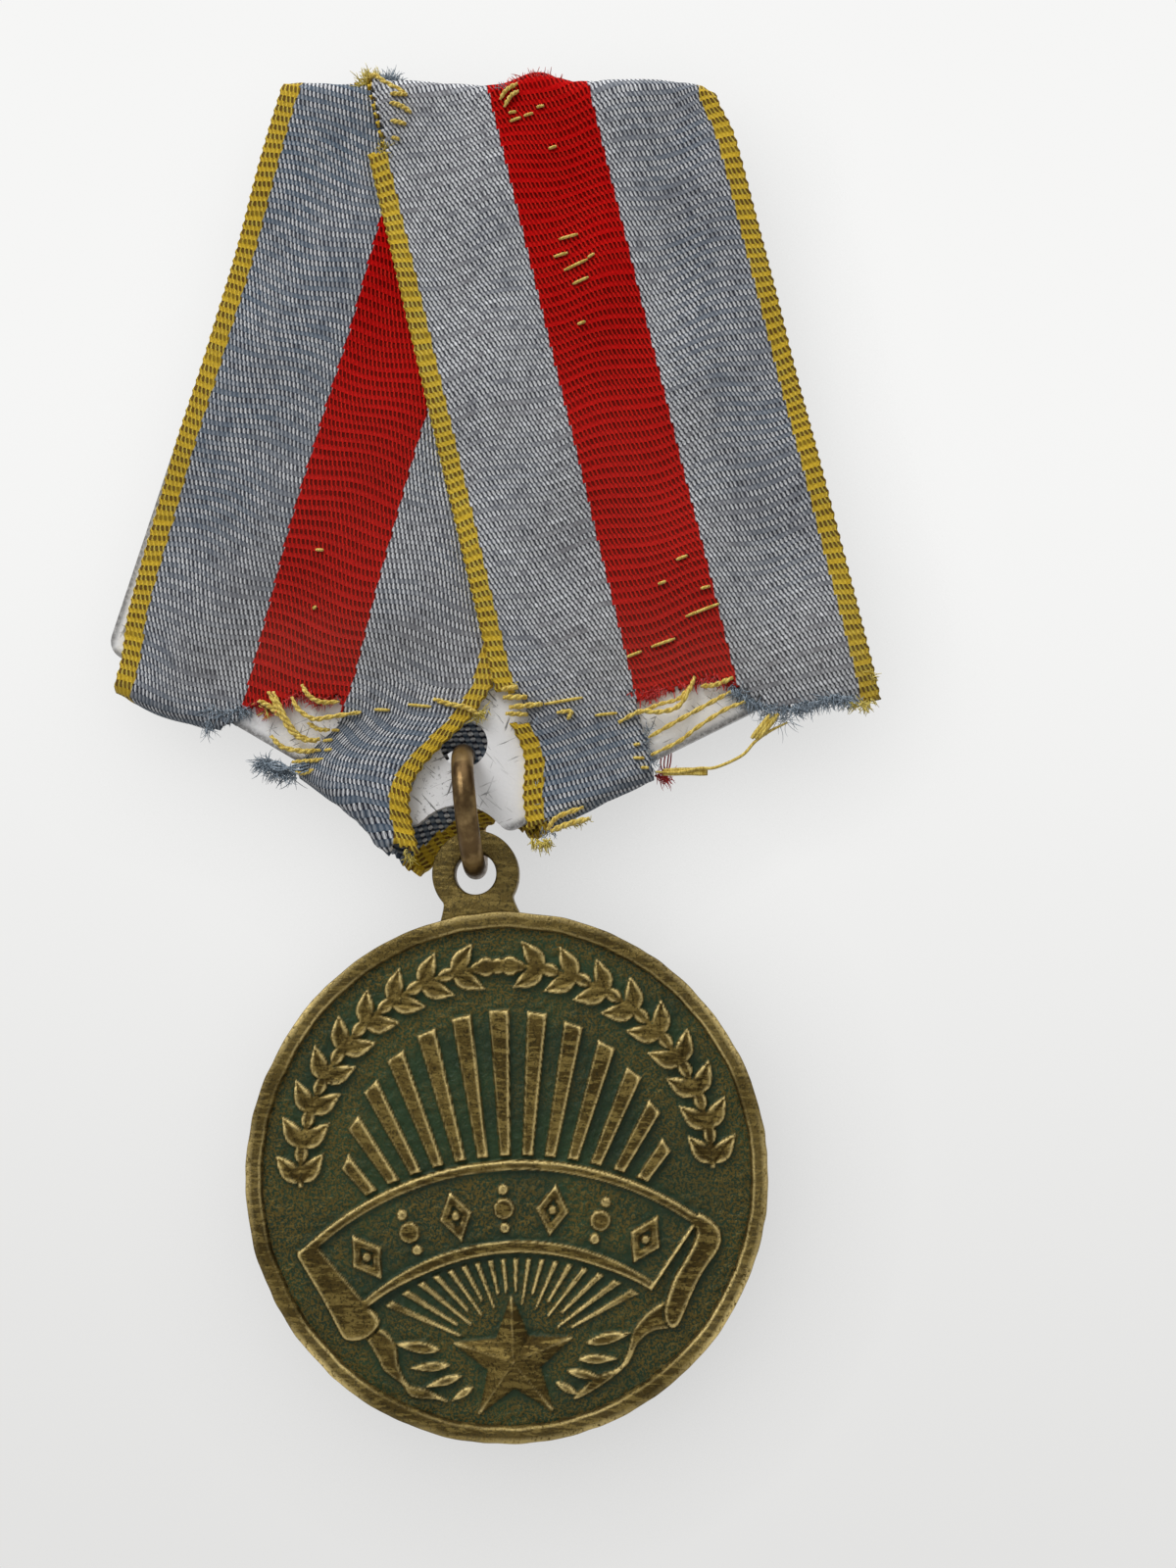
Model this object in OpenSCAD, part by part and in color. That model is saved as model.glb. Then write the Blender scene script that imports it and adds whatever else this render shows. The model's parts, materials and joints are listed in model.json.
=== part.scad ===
// Military service medal: a struck brass disc hanging by a jump ring from a five-sided
// suspension plate, which is wrapped in a striped ribbon and carries a brooch pin behind.
// +Z is up, the face looks along -Y. The origin is the middle of the brooch needle.

/* [Suspension plate] */
// Height of the plate from its top edge to the point where its lower sides would meet
plate_h = 50; // [46:0.5:52]
// Length of the top edge
plate_top_w = 26; // [24:0.5:28]
// Greatest width, between the two shoulders
plate_w = 45.8; // [44:0.2:48]
// Height of the shoulders above the bottom point
shoulder_h = 12.3; // [11.5:0.1:13]
// Thickness of the sheet
plate_t = 1; // [0.8:0.1:1.2]
// Radius of the suspension hole
hole_r = 1.5; // [1.4:0.05:1.6]
// Height of the suspension hole above the bottom point
hole_h = 7.1; // [7:0.05:7.4]
// Radius of the hollow cut out of the bottom point
notch_r = 3.2; // [3:0.05:3.3]

/* [Ribbon] */
// Width of the ribbon
ribbon_w = 23.5; // [23:0.1:24]
// Thickness of the ribbon
ribbon_t = 0.4; // [0.3:0.05:0.45]
// Lean of the left fall from the vertical
left_lean = 12.6; // [11:0.1:14]
// Lean of the right fall from the vertical
right_lean = 15.5; // [14:0.1:16]
// Left edge of the left fall, along the top of the plate
left_top_x = -13.7; // [-14:0.1:-13]
// Left edge of the right fall, along the top of the plate
right_top_x = -9.1; // [-10:0.1:-8]
// Length of the ends turned over behind the top edge
turnover = 7; // [5:0.5:8]
// Height of the crease behind the plate, above the bottom point
crease_h = 18.6; // [18:0.1:19]

/* [Jump ring] */
// Radius of the wire
wire_r = 0.7; // [0.6:0.05:0.7]
// Radius of the ring, at the middle of the wire
ring_r = 3.6; // [3.55:0.05:3.65]
// Play between the ring and the bar that it hangs on
ring_play = 0.1; // [0.08:0.01:0.15]
// Sideways swing at rest, with the disc towards +X
rest_swing = 8.4; // [0:0.1:9]

/* [Disc] */
// Diameter of the disc
disc_d = 32; // [31:0.5:33]
// Thickness at the rim
disc_t = 2.4; // [2.2:0.1:2.6]
// Width of the raised rim
rim_w = 0.95; // [0.8:0.05:1.2]
// Depth of the field below the rim, on each side
field_depth = 0.4; // [0.3:0.05:0.5]
// Distance from the disc's centre to the middle of the hole in its lug
lug_h = 18.5; // [18.2:0.1:19]
// Outer radius of the lug
lug_r = 2.7; // [2.5:0.05:2.75]
// Radius of the hole in the lug
lug_hole_r = 1.3; // [1.2:0.05:1.4]
// Thickness of the lug
lug_t = 2; // [1.8:0.1:2.1]
// Turn of the struck design against the lug
design_turn = 3; // [0:0.5:4]

/* [Brooch] */
// Height of the needle above the bottom point of the plate
needle_h = 33; // [30:0.5:35]
// Distance from the back of the plate to the middle of the needle
needle_out = 2.4; // [2.2:0.1:2.8]
// Distance from the middle of the plate to the hinge axle
hinge_x = 13; // [12:0.5:13.5]
// Radius of the needle
needle_r = 0.5; // [0.45:0.05:0.55]
// Length of the needle's straight shank, from the hinge eye
shank_l = 20; // [18:0.5:21]
// Length of the needle's tapered point
point_l = 4.6; // [4:0.1:4.8]
// Radius of the hinge axle
axle_r = 0.4; // [0.35:0.05:0.45]
// Radial play of the hinge eye on its axle
hinge_play = 0.03; // [0.02:0.01:0.06]

/* [Hidden] */
$fn = 64;

// Levels along Y, from the back of the plate to its front
plate_back = -needle_out;
plate_front = plate_back - plate_t;
plate_mid = plate_back - plate_t / 2;

// The plate's outline, with its bottom point at [0, 0]
shoulder = [plate_w / 2, shoulder_h];
top_corner = [plate_top_w / 2, plate_h];
side_slope = shoulder_h / (plate_w / 2);
notch_angle = atan(side_slope);
corner_r = 1.2;
notch_corner_r = 0.8;

// The ring's middle and the disc's middle hang straight down from the pivot, before the swing
pivot_h = hole_h - hole_r + ring_play + wire_r;
ring_in_r = ring_r - wire_r;
ring_mid = -ring_r;
lug_mid = ring_mid - (sqrt(ring_in_r * ring_in_r - lug_t * lug_t / 4) - ring_play / 2) - lug_hole_r;
disc_mid = lug_mid - lug_h;
split_w = 0.12;

// The ribbon's layers and edges
layer_1 = plate_front - ribbon_t;
layer_2 = layer_1 - ribbon_t;
back_1 = plate_back + ribbon_t;
back_2 = back_1 + ribbon_t;
wrap_x = 22;
band_lean = 48;
stitch_r = 0.15;
stitch_l = 1.5;

// The brooch's sheet metal
sheet_t = 0.5;
eye_r = 1;
eye_h = 2.5;
ear_gap = 0.1;
ear_out = 1.2;
bracket_h = eye_h + 2 * ear_gap + 2 * sheet_t;
bracket_l = 6;
bracket_rivet_x = [2.3, 4.3];
catch_w = 2.6;
catch_x = 10.4;
catch_h = 6.4;
catch_in_r = 0.6;
catch_wall = 0.4;
catch_lip = 0.6;
catch_rivet_h = 2.3;
rivet_r = 0.45;
rivet_head_r = 0.85;
rivet_head_t = 0.35;

// The struck relief, measured from the disc's centre
field_r = disc_d / 2 - rim_w;
relief_t = 0.3;
star_at = [0, -11.15];
star_r = 4;
ray_count = 13;
ray_step = 6.45;
ray_end_r = 9.9;
banner_mid = -18.5;
banner_r = 19.3;
banner_w = 5.6;
banner_angle = 42;
laurel_r = 12.7;
leaf_count = 8;
leaf_from = 7;
leaf_step = 10;

// Points on an arc from angle a to angle b
function polar(r, a) = r * [cos(a), sin(a)];
function arc(mid, r, a, b, n) = [for (i = [0:n]) mid + polar(r, a + (b - a) * i / n)];

// Corner p of an outline, rounded with radius r between its neighbours a and b
function unit(v) = v / norm(v);
function rounded(a, p, b, r) =
    let (u = unit(a - p), v = unit(b - p), half = acos(u * v) / 2,
        mid = p + unit(u + v) * r / sin(half),
        s = p + u * r / tan(half) - mid, e = p + v * r / tan(half) - mid,
        turn = atan2(s[0] * e[1] - s[1] * e[0], s * e), from = atan2(s[1], s[0]))
    arc(mid, r, from, from + turn, 5);

// Where the line through p with direction u meets the line through q with direction v
function meet(p, u, q, v) =
    let (w = q - p) p + u * (w[0] * v[1] - w[1] * v[0]) / (u[0] * v[1] - u[1] * v[0]);

function mirrored(points) = [for (i = [len(points) - 1:-1:0]) [-points[i][0], points[i][1]]];

// A flat piece with outline points in X and Z, between two levels along Y
module slab(points, y_front, y_back) {
    translate([0, y_back, 0]) rotate([90, 0, 0]) linear_extrude(y_back - y_front) polygon(points);
}

// Places what hangs from the plate, swung about the bar
module hung() {
    translate([0, plate_mid, pivot_h - needle_h]) rotate([0, -rest_swing, 0]) children();
}

module from_bottom_point() {
    translate([0, 0, -needle_h]) children();
}

// One rivet along Y, its head behind the sheet metal at y_head and its end flush with the plate's front
module rivet(x, z, y_head) {
    translate([x, y_head, z]) rotate([-90, 0, 0]) cylinder(r = rivet_head_r, h = rivet_head_t);
    translate([x, plate_front, z]) rotate([-90, 0, 0]) cylinder(r = rivet_r, h = y_head - plate_front);
}

// A hole along Y, long enough to run through any of the sheets, at a place in X and Z
module hole(x, z, r) {
    translate([x, 0, z]) rotate([90, 0, 0]) cylinder(r = r, h = 10, center = true);
}

module bracket_rivet_holes() {
    for (x = bracket_rivet_x)
        hole(x - hinge_x, 0, rivet_r);
}

module catch_rivet_holes() {
    for (z = [-catch_rivet_h, catch_rivet_h])
        hole(catch_x + catch_w / 2, z, rivet_r);
}

module backing_plate() {
    notch_end = polar(notch_r, notch_angle);
    notch_step = polar(notch_r, notch_angle + 8);
    half = concat(
        rounded(notch_step, notch_end, shoulder, notch_corner_r),
        rounded(notch_end, shoulder, top_corner, corner_r),
        rounded(shoulder, top_corner, [0, plate_h], corner_r));
    color("silver") difference() {
        from_bottom_point() slab(concat(half, mirrored(half)), plate_front, plate_back);
        hole(0, -needle_h, notch_r);
        hole(0, hole_h - needle_h, hole_r);
        bracket_rivet_holes();
        catch_rivet_holes();
    }
}

// The gap that the ribbon leaves around the ring, in front and behind
module ring_gap_front() {
    points = [[1.9, 10.8], [-1.4, 6.9], [-3.4, 4.5], [-4.6, 2], [-4.6, -3], [5, -3], [4.7, 2], [3.4, 8]];
    slab(points, layer_2 - 1, plate_mid);
}

module ring_gap_back() {
    half = [[4.6, -3], [4.6, 1.8], [2.2, 5.6], [1.3, 7.6]];
    slab(concat(half, mirrored(half)), plate_mid, back_2 + 1);
}

// One fall in front of the plate, its lower wrap, its run behind up to the crease, and its turned-over top
module fall(side, top_x, lean, front, behind) {
    w = ribbon_w / cos(lean);
    along = [side * sin(lean), -cos(lean)];
    edge_out = side < 0 ? [top_x, plate_h] : [top_x + w, plate_h];
    edge_in = side < 0 ? [top_x + w, plate_h] : [top_x, plate_h];
    low_side = [side, side_slope];
    p_out = meet(edge_out, along, [0, 0], low_side);
    p_in = meet(edge_in, along, [0, 0], low_side);
    low = [side * wrap_x, side_slope * wrap_x];
    drop = ribbon_t * [side * sin(notch_angle), -cos(notch_angle)];
    slab([edge_out, edge_in, p_in, p_out], front, front + ribbon_t);
    slab([low, p_in, p_in + drop, low + drop], front, behind);
    up = [-side * cos(band_lean), sin(band_lean)];
    crease = [1, 0];
    slab([low, p_in, meet(p_in, up, [0, crease_h], crease), meet(low, up, [0, crease_h], crease)],
        behind - ribbon_t, behind);
    back = [-side * turnover * tan(lean), -turnover];
    slab([edge_out, edge_in, edge_in + back, edge_out + back], behind - ribbon_t, behind);
    slab([edge_out, edge_in, edge_in + [0, ribbon_t], edge_out + [0, ribbon_t]], front, behind);
}

module ribbon() {
    color("slategray") difference() {
        from_bottom_point() {
            fall(-1, left_top_x, left_lean, layer_1, back_1);
            fall(1, right_top_x, right_lean, layer_2, back_2);
        }
        from_bottom_point() ring_gap_front();
        from_bottom_point() ring_gap_back();
    }
}

// Tacking stitches through the turned-over ends and along the crease
module stitching() {
    hem_z = plate_h - turnover + 1;
    color("khaki") from_bottom_point() {
        for (x = [-9:3:9])
            translate([x, back_2 + stitch_r, hem_z]) rotate([0, 90, 0])
                cylinder(r = stitch_r, h = stitch_l, center = true);
        for (x = [-9:3:9])
            translate([x, back_2 + stitch_r, crease_h - 1]) rotate([0, 90, 0])
                cylinder(r = stitch_r, h = stitch_l, center = true);
    }
}

module hinge_bracket() {
    color("gainsboro") difference() {
        translate([-hinge_x, 0, 0]) {
            translate([-eye_r, plate_back, -bracket_h / 2]) cube([bracket_l, sheet_t, bracket_h]);
            for (side = [-1, 1])
                translate([0, 0, side * (bracket_h - sheet_t) / 2]) {
                    translate([-ear_out, plate_back, -sheet_t / 2]) cube([2 * ear_out, needle_out, sheet_t]);
                    cylinder(r = ear_out, h = sheet_t, center = true);
                }
        }
        translate([-hinge_x, 0, 0]) cylinder(r = axle_r, h = 2 * bracket_h, center = true);
        bracket_rivet_holes();
    }
}

module hinge_axle() {
    head_r = 0.65;
    head_t = 0.3;
    color("gray") translate([-hinge_x, 0, 0]) {
        cylinder(r = axle_r, h = bracket_h, center = true);
        for (side = [-1, 1])
            translate([0, 0, side * (bracket_h + head_t) / 2])
                cylinder(r = head_r, h = head_t, center = true);
    }
}

module brooch_pin() {
    point_r = 0.08;
    color("lightgray") translate([-hinge_x, 0, 0]) difference() {
        union() {
            cylinder(r = eye_r, h = eye_h, center = true);
            rotate([0, 90, 0]) cylinder(r = needle_r, h = eye_r + shank_l);
            translate([eye_r + shank_l, 0, 0]) rotate([0, 90, 0])
                cylinder(r1 = needle_r, r2 = point_r, h = point_l);
        }
        cylinder(r = axle_r + hinge_play, h = 2 * eye_h, center = true);
    }
}

// A folded trough on a riveted foot; the needle's point lies in it and leaves it straight backwards
module pin_catch() {
    out_r = catch_in_r + catch_wall;
    color("gainsboro") difference() {
        translate([catch_x, plate_back, 0]) {
            translate([0, 0, -catch_h / 2]) cube([catch_w, sheet_t, catch_h]);
            translate([0, 0, -out_r]) cube([catch_w, needle_out + catch_lip, 2 * out_r]);
        }
        rotate([0, 90, 0]) cylinder(r = catch_in_r, h = hinge_x + catch_x);
        translate([0, 0, -catch_in_r]) cube([hinge_x + catch_x, 2 * catch_lip, 2 * catch_in_r]);
        catch_rivet_holes();
    }
}

module bracket_rivets() {
    color("silver") for (x = bracket_rivet_x)
        rivet(x - hinge_x, 0, plate_back + sheet_t);
}

module catch_rivets() {
    color("silver") for (z = [-catch_rivet_h, catch_rivet_h])
        rivet(catch_x + catch_w / 2, z, plate_back + sheet_t);
}

// A ring of round wire, butted at the back
module jump_ring() {
    color("peru") hung() translate([0, 0, ring_mid]) difference() {
        rotate([0, 90, 0]) rotate_extrude() translate([ring_r, 0]) circle(r = wire_r);
        translate([0, ring_r, 0]) cube([4 * wire_r, 4 * wire_r, split_w], center = true);
    }
}

// The struck relief, drawn in the plane of the face and raised towards +Z
module star() {
    inner_r = 0.42 * star_r;
    translate(star_at) linear_extrude(relief_t)
        polygon([for (i = [0:9]) let (r = i % 2 == 0 ? star_r : inner_r) polar(r, 90 + 36 * i)]);
}

module rays() {
    first_r = 12.6;
    half_in = 0.33;
    half_out = 0.6;
    for (i = [0:ray_count - 1]) {
        a = 90 + (i - (ray_count - 1) / 2) * ray_step;
        u = polar(1, a);
        n = polar(1, a + 90);
        reach = -star_at * u + sqrt(pow(star_at * u, 2) - star_at * star_at + ray_end_r * ray_end_r);
        inner = star_at + first_r * u;
        outer = star_at + reach * u;
        linear_extrude(relief_t)
            polygon([inner - half_in * n, inner + half_in * n, outer + half_out * n, outer - half_out * n]);
    }
}

module banner() {
    a = banner_angle;
    translate([0, banner_mid]) linear_extrude(relief_t) difference() {
        intersection() {
            circle(r = banner_r, $fn = 128);
            polygon([[0, 0], polar(40, 90 + a), [0, 40], polar(40, 90 - a)]);
        }
        circle(r = banner_r - banner_w, $fn = 128);
    }
}

// A plain laurel of pointed leaves along the upper edge of the field
module laurel() {
    for (side = [-1, 1], i = [0:leaf_count - 1])
        rotate(side * (leaf_from + i * leaf_step)) translate([0, laurel_r]) rotate(side * 72)
            linear_extrude(relief_t)
                polygon([[0, 1.2], [0.5, 0.2], [0.3, -0.8], [0, -1.1], [-0.3, -0.8], [-0.5, 0.2]]);
}

module medal_disc() {
    rim_r = disc_d / 2;
    neck_w = 4.3;
    field_t = disc_t - 2 * field_depth;
    color("darkgoldenrod") hung() translate([0, 0, disc_mid]) rotate([90, 0, 0]) {
        difference() {
            cylinder(r = rim_r, h = disc_t, center = true, $fn = 128);
            for (side = [-1, 1])
                translate([0, 0, side * disc_t / 2])
                    cylinder(r = field_r, h = 2 * field_depth, center = true, $fn = 128);
        }
        translate([0, 0, field_t / 2]) rotate(-design_turn) {
            star();
            rays();
            banner();
            laurel();
        }
        difference() {
            union() {
                translate([0, lug_h, 0]) cylinder(r = lug_r, h = lug_t, center = true);
                translate([-neck_w / 2, field_r, -lug_t / 2]) cube([neck_w, lug_h - field_r - 2, lug_t]);
            }
            translate([0, lug_h, 0]) cylinder(r = lug_hole_r, h = 2 * lug_t, center = true);
        }
    }
}

backing_plate();
ribbon();
stitching();
hinge_bracket();
hinge_axle();
brooch_pin();
pin_catch();
bracket_rivets();
catch_rivets();
jump_ring();
medal_disc();
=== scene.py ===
"""Looks of a worn service medal: struck brass disc, jump ring, suspension plate, striped ribbon and brooch.

Lengths are in millimetres, measured from the bottom point of the suspension plate (X right, Z up, Y
away from the viewer), and are turned into the frame's metres as each mesh is made.
"""
import functools
import json
import math
import bpy
import numpy as np
from mathutils import Matrix, Vector


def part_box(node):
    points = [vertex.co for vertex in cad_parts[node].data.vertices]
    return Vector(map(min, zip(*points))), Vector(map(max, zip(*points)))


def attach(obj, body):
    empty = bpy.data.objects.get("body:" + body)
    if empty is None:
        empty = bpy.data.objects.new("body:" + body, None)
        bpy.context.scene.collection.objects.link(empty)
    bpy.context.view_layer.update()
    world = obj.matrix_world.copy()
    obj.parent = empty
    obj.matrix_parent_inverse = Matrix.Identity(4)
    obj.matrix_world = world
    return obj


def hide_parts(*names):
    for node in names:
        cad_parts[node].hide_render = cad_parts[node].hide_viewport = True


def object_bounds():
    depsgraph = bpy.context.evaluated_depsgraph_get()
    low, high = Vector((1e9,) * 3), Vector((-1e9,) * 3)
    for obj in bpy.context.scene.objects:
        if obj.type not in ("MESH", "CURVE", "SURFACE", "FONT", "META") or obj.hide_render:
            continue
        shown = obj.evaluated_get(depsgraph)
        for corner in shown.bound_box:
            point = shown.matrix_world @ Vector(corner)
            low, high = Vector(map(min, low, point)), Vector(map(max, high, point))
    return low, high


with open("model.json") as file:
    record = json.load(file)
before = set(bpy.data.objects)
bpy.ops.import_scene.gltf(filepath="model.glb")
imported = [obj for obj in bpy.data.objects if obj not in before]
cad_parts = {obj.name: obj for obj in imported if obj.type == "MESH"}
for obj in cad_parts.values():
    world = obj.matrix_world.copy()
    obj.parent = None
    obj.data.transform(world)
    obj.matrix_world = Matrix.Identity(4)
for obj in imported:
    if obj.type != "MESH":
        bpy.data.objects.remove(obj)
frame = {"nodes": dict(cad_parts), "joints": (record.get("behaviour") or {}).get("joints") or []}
cad_low, cad_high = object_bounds()

MM = 0.001

# Suspension plate
PLATE_H = 50.0
PLATE_LOW, PLATE_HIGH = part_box("backing_plate")
TIP_Z = PLATE_HIGH.z / MM - PLATE_H
PLATE_FRONT = PLATE_LOW.y / MM
PLATE_BACK = PLATE_HIGH.y / MM
PLATE_MID = (PLATE_FRONT + PLATE_BACK) / 2
HALF_PLATE = (PLATE_BACK - PLATE_FRONT) / 2
SIDE_ANGLE = math.atan2(12.3, 22.9)
# Sides of the plate's outline, as a unit normal and how far out the side lies from the bottom point
LOWER_SIDE = (math.sin(SIDE_ANGLE), -math.cos(SIDE_ANGLE), 0.0)
UPPER_SIDE = (0.967, 0.254, 25.27)

# Ribbon
RIBBON_W = 23.5
RIBBON_T = 0.34
CLOTH_GAP = 0.03
LEFT_LEAN, RIGHT_LEAN = math.radians(-12.6), math.radians(15.5)
LEFT_TOP_X, RIGHT_TOP_X = -13.7, -9.1
TURNOVER = 7.0
CREASE_H = 18.6
TOP_FOLD_H = 49.53
RING_THROUGH_H = 6.3
# Pitch of the ribs along the ribbon and of the warp across it
RIB = 0.67
WARP = 0.28
# Borders of the yellow, outer, red, outer and yellow stripes
STRIPES = (1.2, 8.55, 14.95, 22.3)

# Disc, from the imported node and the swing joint
DISC_LOW, DISC_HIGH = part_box("medal_disc")
DISC_R = (DISC_HIGH.x - DISC_LOW.x) / MM / 2
DISC_X = (DISC_HIGH.x + DISC_LOW.x) / MM / 2
DISC_Z = DISC_LOW.z / MM + DISC_R - TIP_Z
DISC_T = (DISC_HIGH.y - DISC_LOW.y) / MM
FLIP_AXIS = next(j for j in frame["joints"] if j["name"] == "disc_flip")["axis"]
SWING = math.atan2(FLIP_AXIS[2], FLIP_AXIS[0])
RIM_IN_R = 15.05
FIELD_DEPTH = 0.4
SOFT_R = 0.16
LUG_H, LUG_R, LUG_HOLE_R, LUG_T, NECK_W, LUG_FOOT_R = 18.5, 2.7, 1.3, 2.0, 4.3, 15.3
DESIGN_TURN = math.radians(-3.6)
# Grid steps of the struck face and of the plain reverse
CELL = 0.09
BACK_CELL = 0.2

# How far things darken the backdrop behind them, in metres
SHADOW_REACH = 0.011


# ---- small tools

def smooth(low, high, x):
    """0 before low and 1 after high, with a smooth step between; low may be the larger."""
    t = np.clip((x - low) / (high - low), 0, 1)
    return t * t * (3 - 2 * t)


def bump(x, mid, width):
    return np.exp(-((x - mid) / width) ** 2)


def most(*fields):
    """The largest of several fields at each place."""
    return functools.reduce(np.maximum, fields)


def blurred(field, cell, blur):
    """A field on a grid of the given cell size, blurred over blur mm."""
    fy = np.fft.fftfreq(field.shape[0], cell)[:, None]
    fx = np.fft.rfftfreq(field.shape[1], cell)[None, :]
    low_pass = np.exp(-2 * (math.pi * blur) ** 2 * (fx ** 2 + fy ** 2))
    return np.fft.irfft2(np.fft.rfft2(field) * low_pass, field.shape)


def noise_map(seed, shape, cell, blur):
    """Smooth random field with spread 1."""
    field = blurred(np.random.default_rng(seed).standard_normal(shape), cell, blur)
    return field / field.std()


def to_frame(points):
    """Millimetres from the plate's bottom point to the frame's metres."""
    return (np.asarray(points, float) + [0, 0, TIP_Z]) * MM


def make_mesh(name, points, faces, flat=None, attributes=None):
    """Mesh object from points in frame metres; faces hold corner indices, flat marks unsmoothed faces."""
    mesh = bpy.data.meshes.new(name)
    mesh.from_pydata([tuple(p) for p in points], [], [tuple(int(i) for i in f) for f in faces])
    rounded = np.ones(len(faces), bool) if flat is None else ~flat
    mesh.polygons.foreach_set("use_smooth", rounded)
    for key, values in (attributes or {}).items():
        kind, slot = ("FLOAT_VECTOR", "vector") if values.ndim == 2 else ("FLOAT", "value")
        layer = mesh.attributes.new(key, kind, "POINT")
        layer.data.foreach_set(slot, np.ascontiguousarray(values, float).ravel())
    mesh.update()
    piece = bpy.data.objects.new(name, mesh)
    bpy.context.scene.collection.objects.link(piece)
    return piece


def cell_corners(shape):
    """Point indices at the four corners of each cell of a grid, in turn."""
    index = np.arange(shape[0] * shape[1]).reshape(shape)
    return index[:-1, :-1], index[1:, :-1], index[1:, 1:], index[:-1, 1:]


def borders(keep, corners):
    """Start and end points of the edges between kept cells and the rest, one side of the cells at a time."""
    a, b, c, d = corners
    pad = np.pad(keep, 1)
    for other, i, j in ((pad[:-2, 1:-1], d, a), (pad[2:, 1:-1], b, c),
                        (pad[1:-1, :-2], a, b), (pad[1:-1, 2:], c, d)):
        border = keep & ~other
        yield i[border], j[border]


def without_unused(faces, count):
    """Faces renumbered for the points in use, and the mask of those."""
    used = np.zeros(count, bool)
    used[np.concatenate(faces)] = True
    renumber = np.cumsum(used) - 1
    return [renumber[f] for f in faces], used


def spline(points, count):
    """Evenly indexed points on a smooth curve through the given ones."""
    p = np.asarray(points, float)
    p = np.vstack([2 * p[0] - p[1], p, 2 * p[-1] - p[-2]])
    t = np.linspace(0, len(p) - 3 - 1e-6, count)
    i = t.astype(int)
    f = (t - i)[:, None]
    a, b, c, d = p[i], p[i + 1], p[i + 2], p[i + 3]
    bend, twist = 2 * a - 5 * b + 4 * c - d, 3 * b - a - 3 * c + d
    return 0.5 * (2 * b + (c - a) * f + bend * f ** 2 + twist * f ** 3)


def directions(path):
    """Unit vectors along a path."""
    along = np.gradient(path, axis=0)
    return along / (np.linalg.norm(along, axis=1)[:, None] + 1e-12)


def skin(rows, count):
    """Quads between rows of count points, each row a closed loop, from one row to the next."""
    k = np.arange(count)
    after = (k + 1) % count
    return [quad for i, j in rows
            for quad in np.stack([i * count + k, i * count + after, j * count + after, j * count + k], 1)]


def tube(path, radius, sides):
    """Closed tube along a path; radius is a number or one value for each point."""
    n = len(path)
    along = directions(path)
    side = np.cross(along, [0.31, 0.92, 0.24])
    side /= np.linalg.norm(side, axis=1)[:, None] + 1e-12
    over = np.cross(side, along)
    angle = np.arange(sides) * 2 * math.pi / sides
    ring = np.cos(angle)[None, :, None] * side[:, None] + np.sin(angle)[None, :, None] * over[:, None]
    points = (path[:, None] + ring * np.broadcast_to(radius, n)[:, None, None]).reshape(-1, 3)
    ends = [np.arange(sides)[::-1], (n - 1) * sides + np.arange(sides)]
    return points, skin([(i, i + 1) for i in range(n - 1)], sides) + ends


def tubes(name, paths, sides):
    """One piece from many tubes; each path is (points in mm, radius in mm)."""
    points, faces, total = [], [], 0
    for path, radius in paths:
        p, f = tube(path, radius, sides)
        points.append(p)
        faces += [face + total for face in f]
        total += len(p)
    return make_mesh(name, to_frame(np.vstack(points)), faces)


# ---- materials

class Value:
    """An output of a node, whose arithmetic adds math nodes."""

    def __init__(self, graph, socket):
        self.graph = graph
        self.socket = socket

    def __add__(self, other):
        return self.graph.math("ADD", self, other)

    def __sub__(self, other):
        return self.graph.math("SUBTRACT", self, other)

    def __rsub__(self, other):
        return self.graph.math("SUBTRACT", other, self)

    def __mul__(self, other):
        return self.graph.math("MULTIPLY", self, other)

    def __truediv__(self, other):
        return self.graph.math("DIVIDE", self, other)


class Graph:
    """A material's node tree, built with short calls."""

    def __init__(self, name):
        self.material = bpy.data.materials.new(name)
        self.material.use_nodes = True
        self.tree = self.material.node_tree
        self.shader = self.tree.nodes["Principled BSDF"]

    def put(self, socket, value):
        if isinstance(value, Value):
            self.tree.links.new(value.socket, socket)
        elif socket.type == "RGBA":
            socket.default_value = (*value, 1)
        else:
            socket.default_value = value

    def set(self, **values):
        for key, value in values.items():
            self.put(self.shader.inputs[key.replace("_", " ")], value)

    def node(self, kind, inputs, output=0, **settings):
        """One output of a new node; inputs are keyed by name or number."""
        n = self.tree.nodes.new("ShaderNode" + kind)
        for key, value in settings.items():
            setattr(n, key, value)
        for key, value in inputs.items():
            self.put(n.inputs[key], value)
        return Value(self, n.outputs[output])

    def attribute(self, name, output="Fac"):
        return self.node("Attribute", {}, output, attribute_name=name)

    def place(self):
        return self.node("TexCoord", {}, "Object")

    def scaled(self, vector, scale):
        return self.node("VectorMath", {0: vector, 1: scale}, operation="MULTIPLY")

    def parts(self, vector):
        first = self.node("SeparateXYZ", {0: vector})
        return [Value(self, socket) for socket in first.socket.node.outputs]

    def joined(self, x, y, z=0.0):
        return self.node("CombineXYZ", {0: x, 1: y, 2: z})

    def math(self, operation, *values):
        return self.node("Math", dict(enumerate(values)), operation=operation)

    def mapped(self, value, low, high, to_low=0.0, to_high=1.0):
        return self.node("MapRange", {"Value": value, "From Min": low, "From Max": high, "To Min": to_low,
                                      "To Max": to_high}, "Result", interpolation_type="SMOOTHSTEP")

    def noise(self, vector, scale=1.0, detail=3.0, roughness=0.55):
        return self.node("TexNoise", {"Vector": vector, "Scale": scale, "Detail": detail,
                                      "Roughness": roughness})

    def mix(self, factor, a, b):
        return self.node("Mix", {0: factor, 6: a, 7: b}, 2, data_type="RGBA")

    def bumped(self, height, distance, strength):
        """The finished material, with small relief in its shading."""
        self.set(Normal=self.node("Bump", {"Strength": strength, "Distance": distance, "Height": height}))
        return self.material


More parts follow.
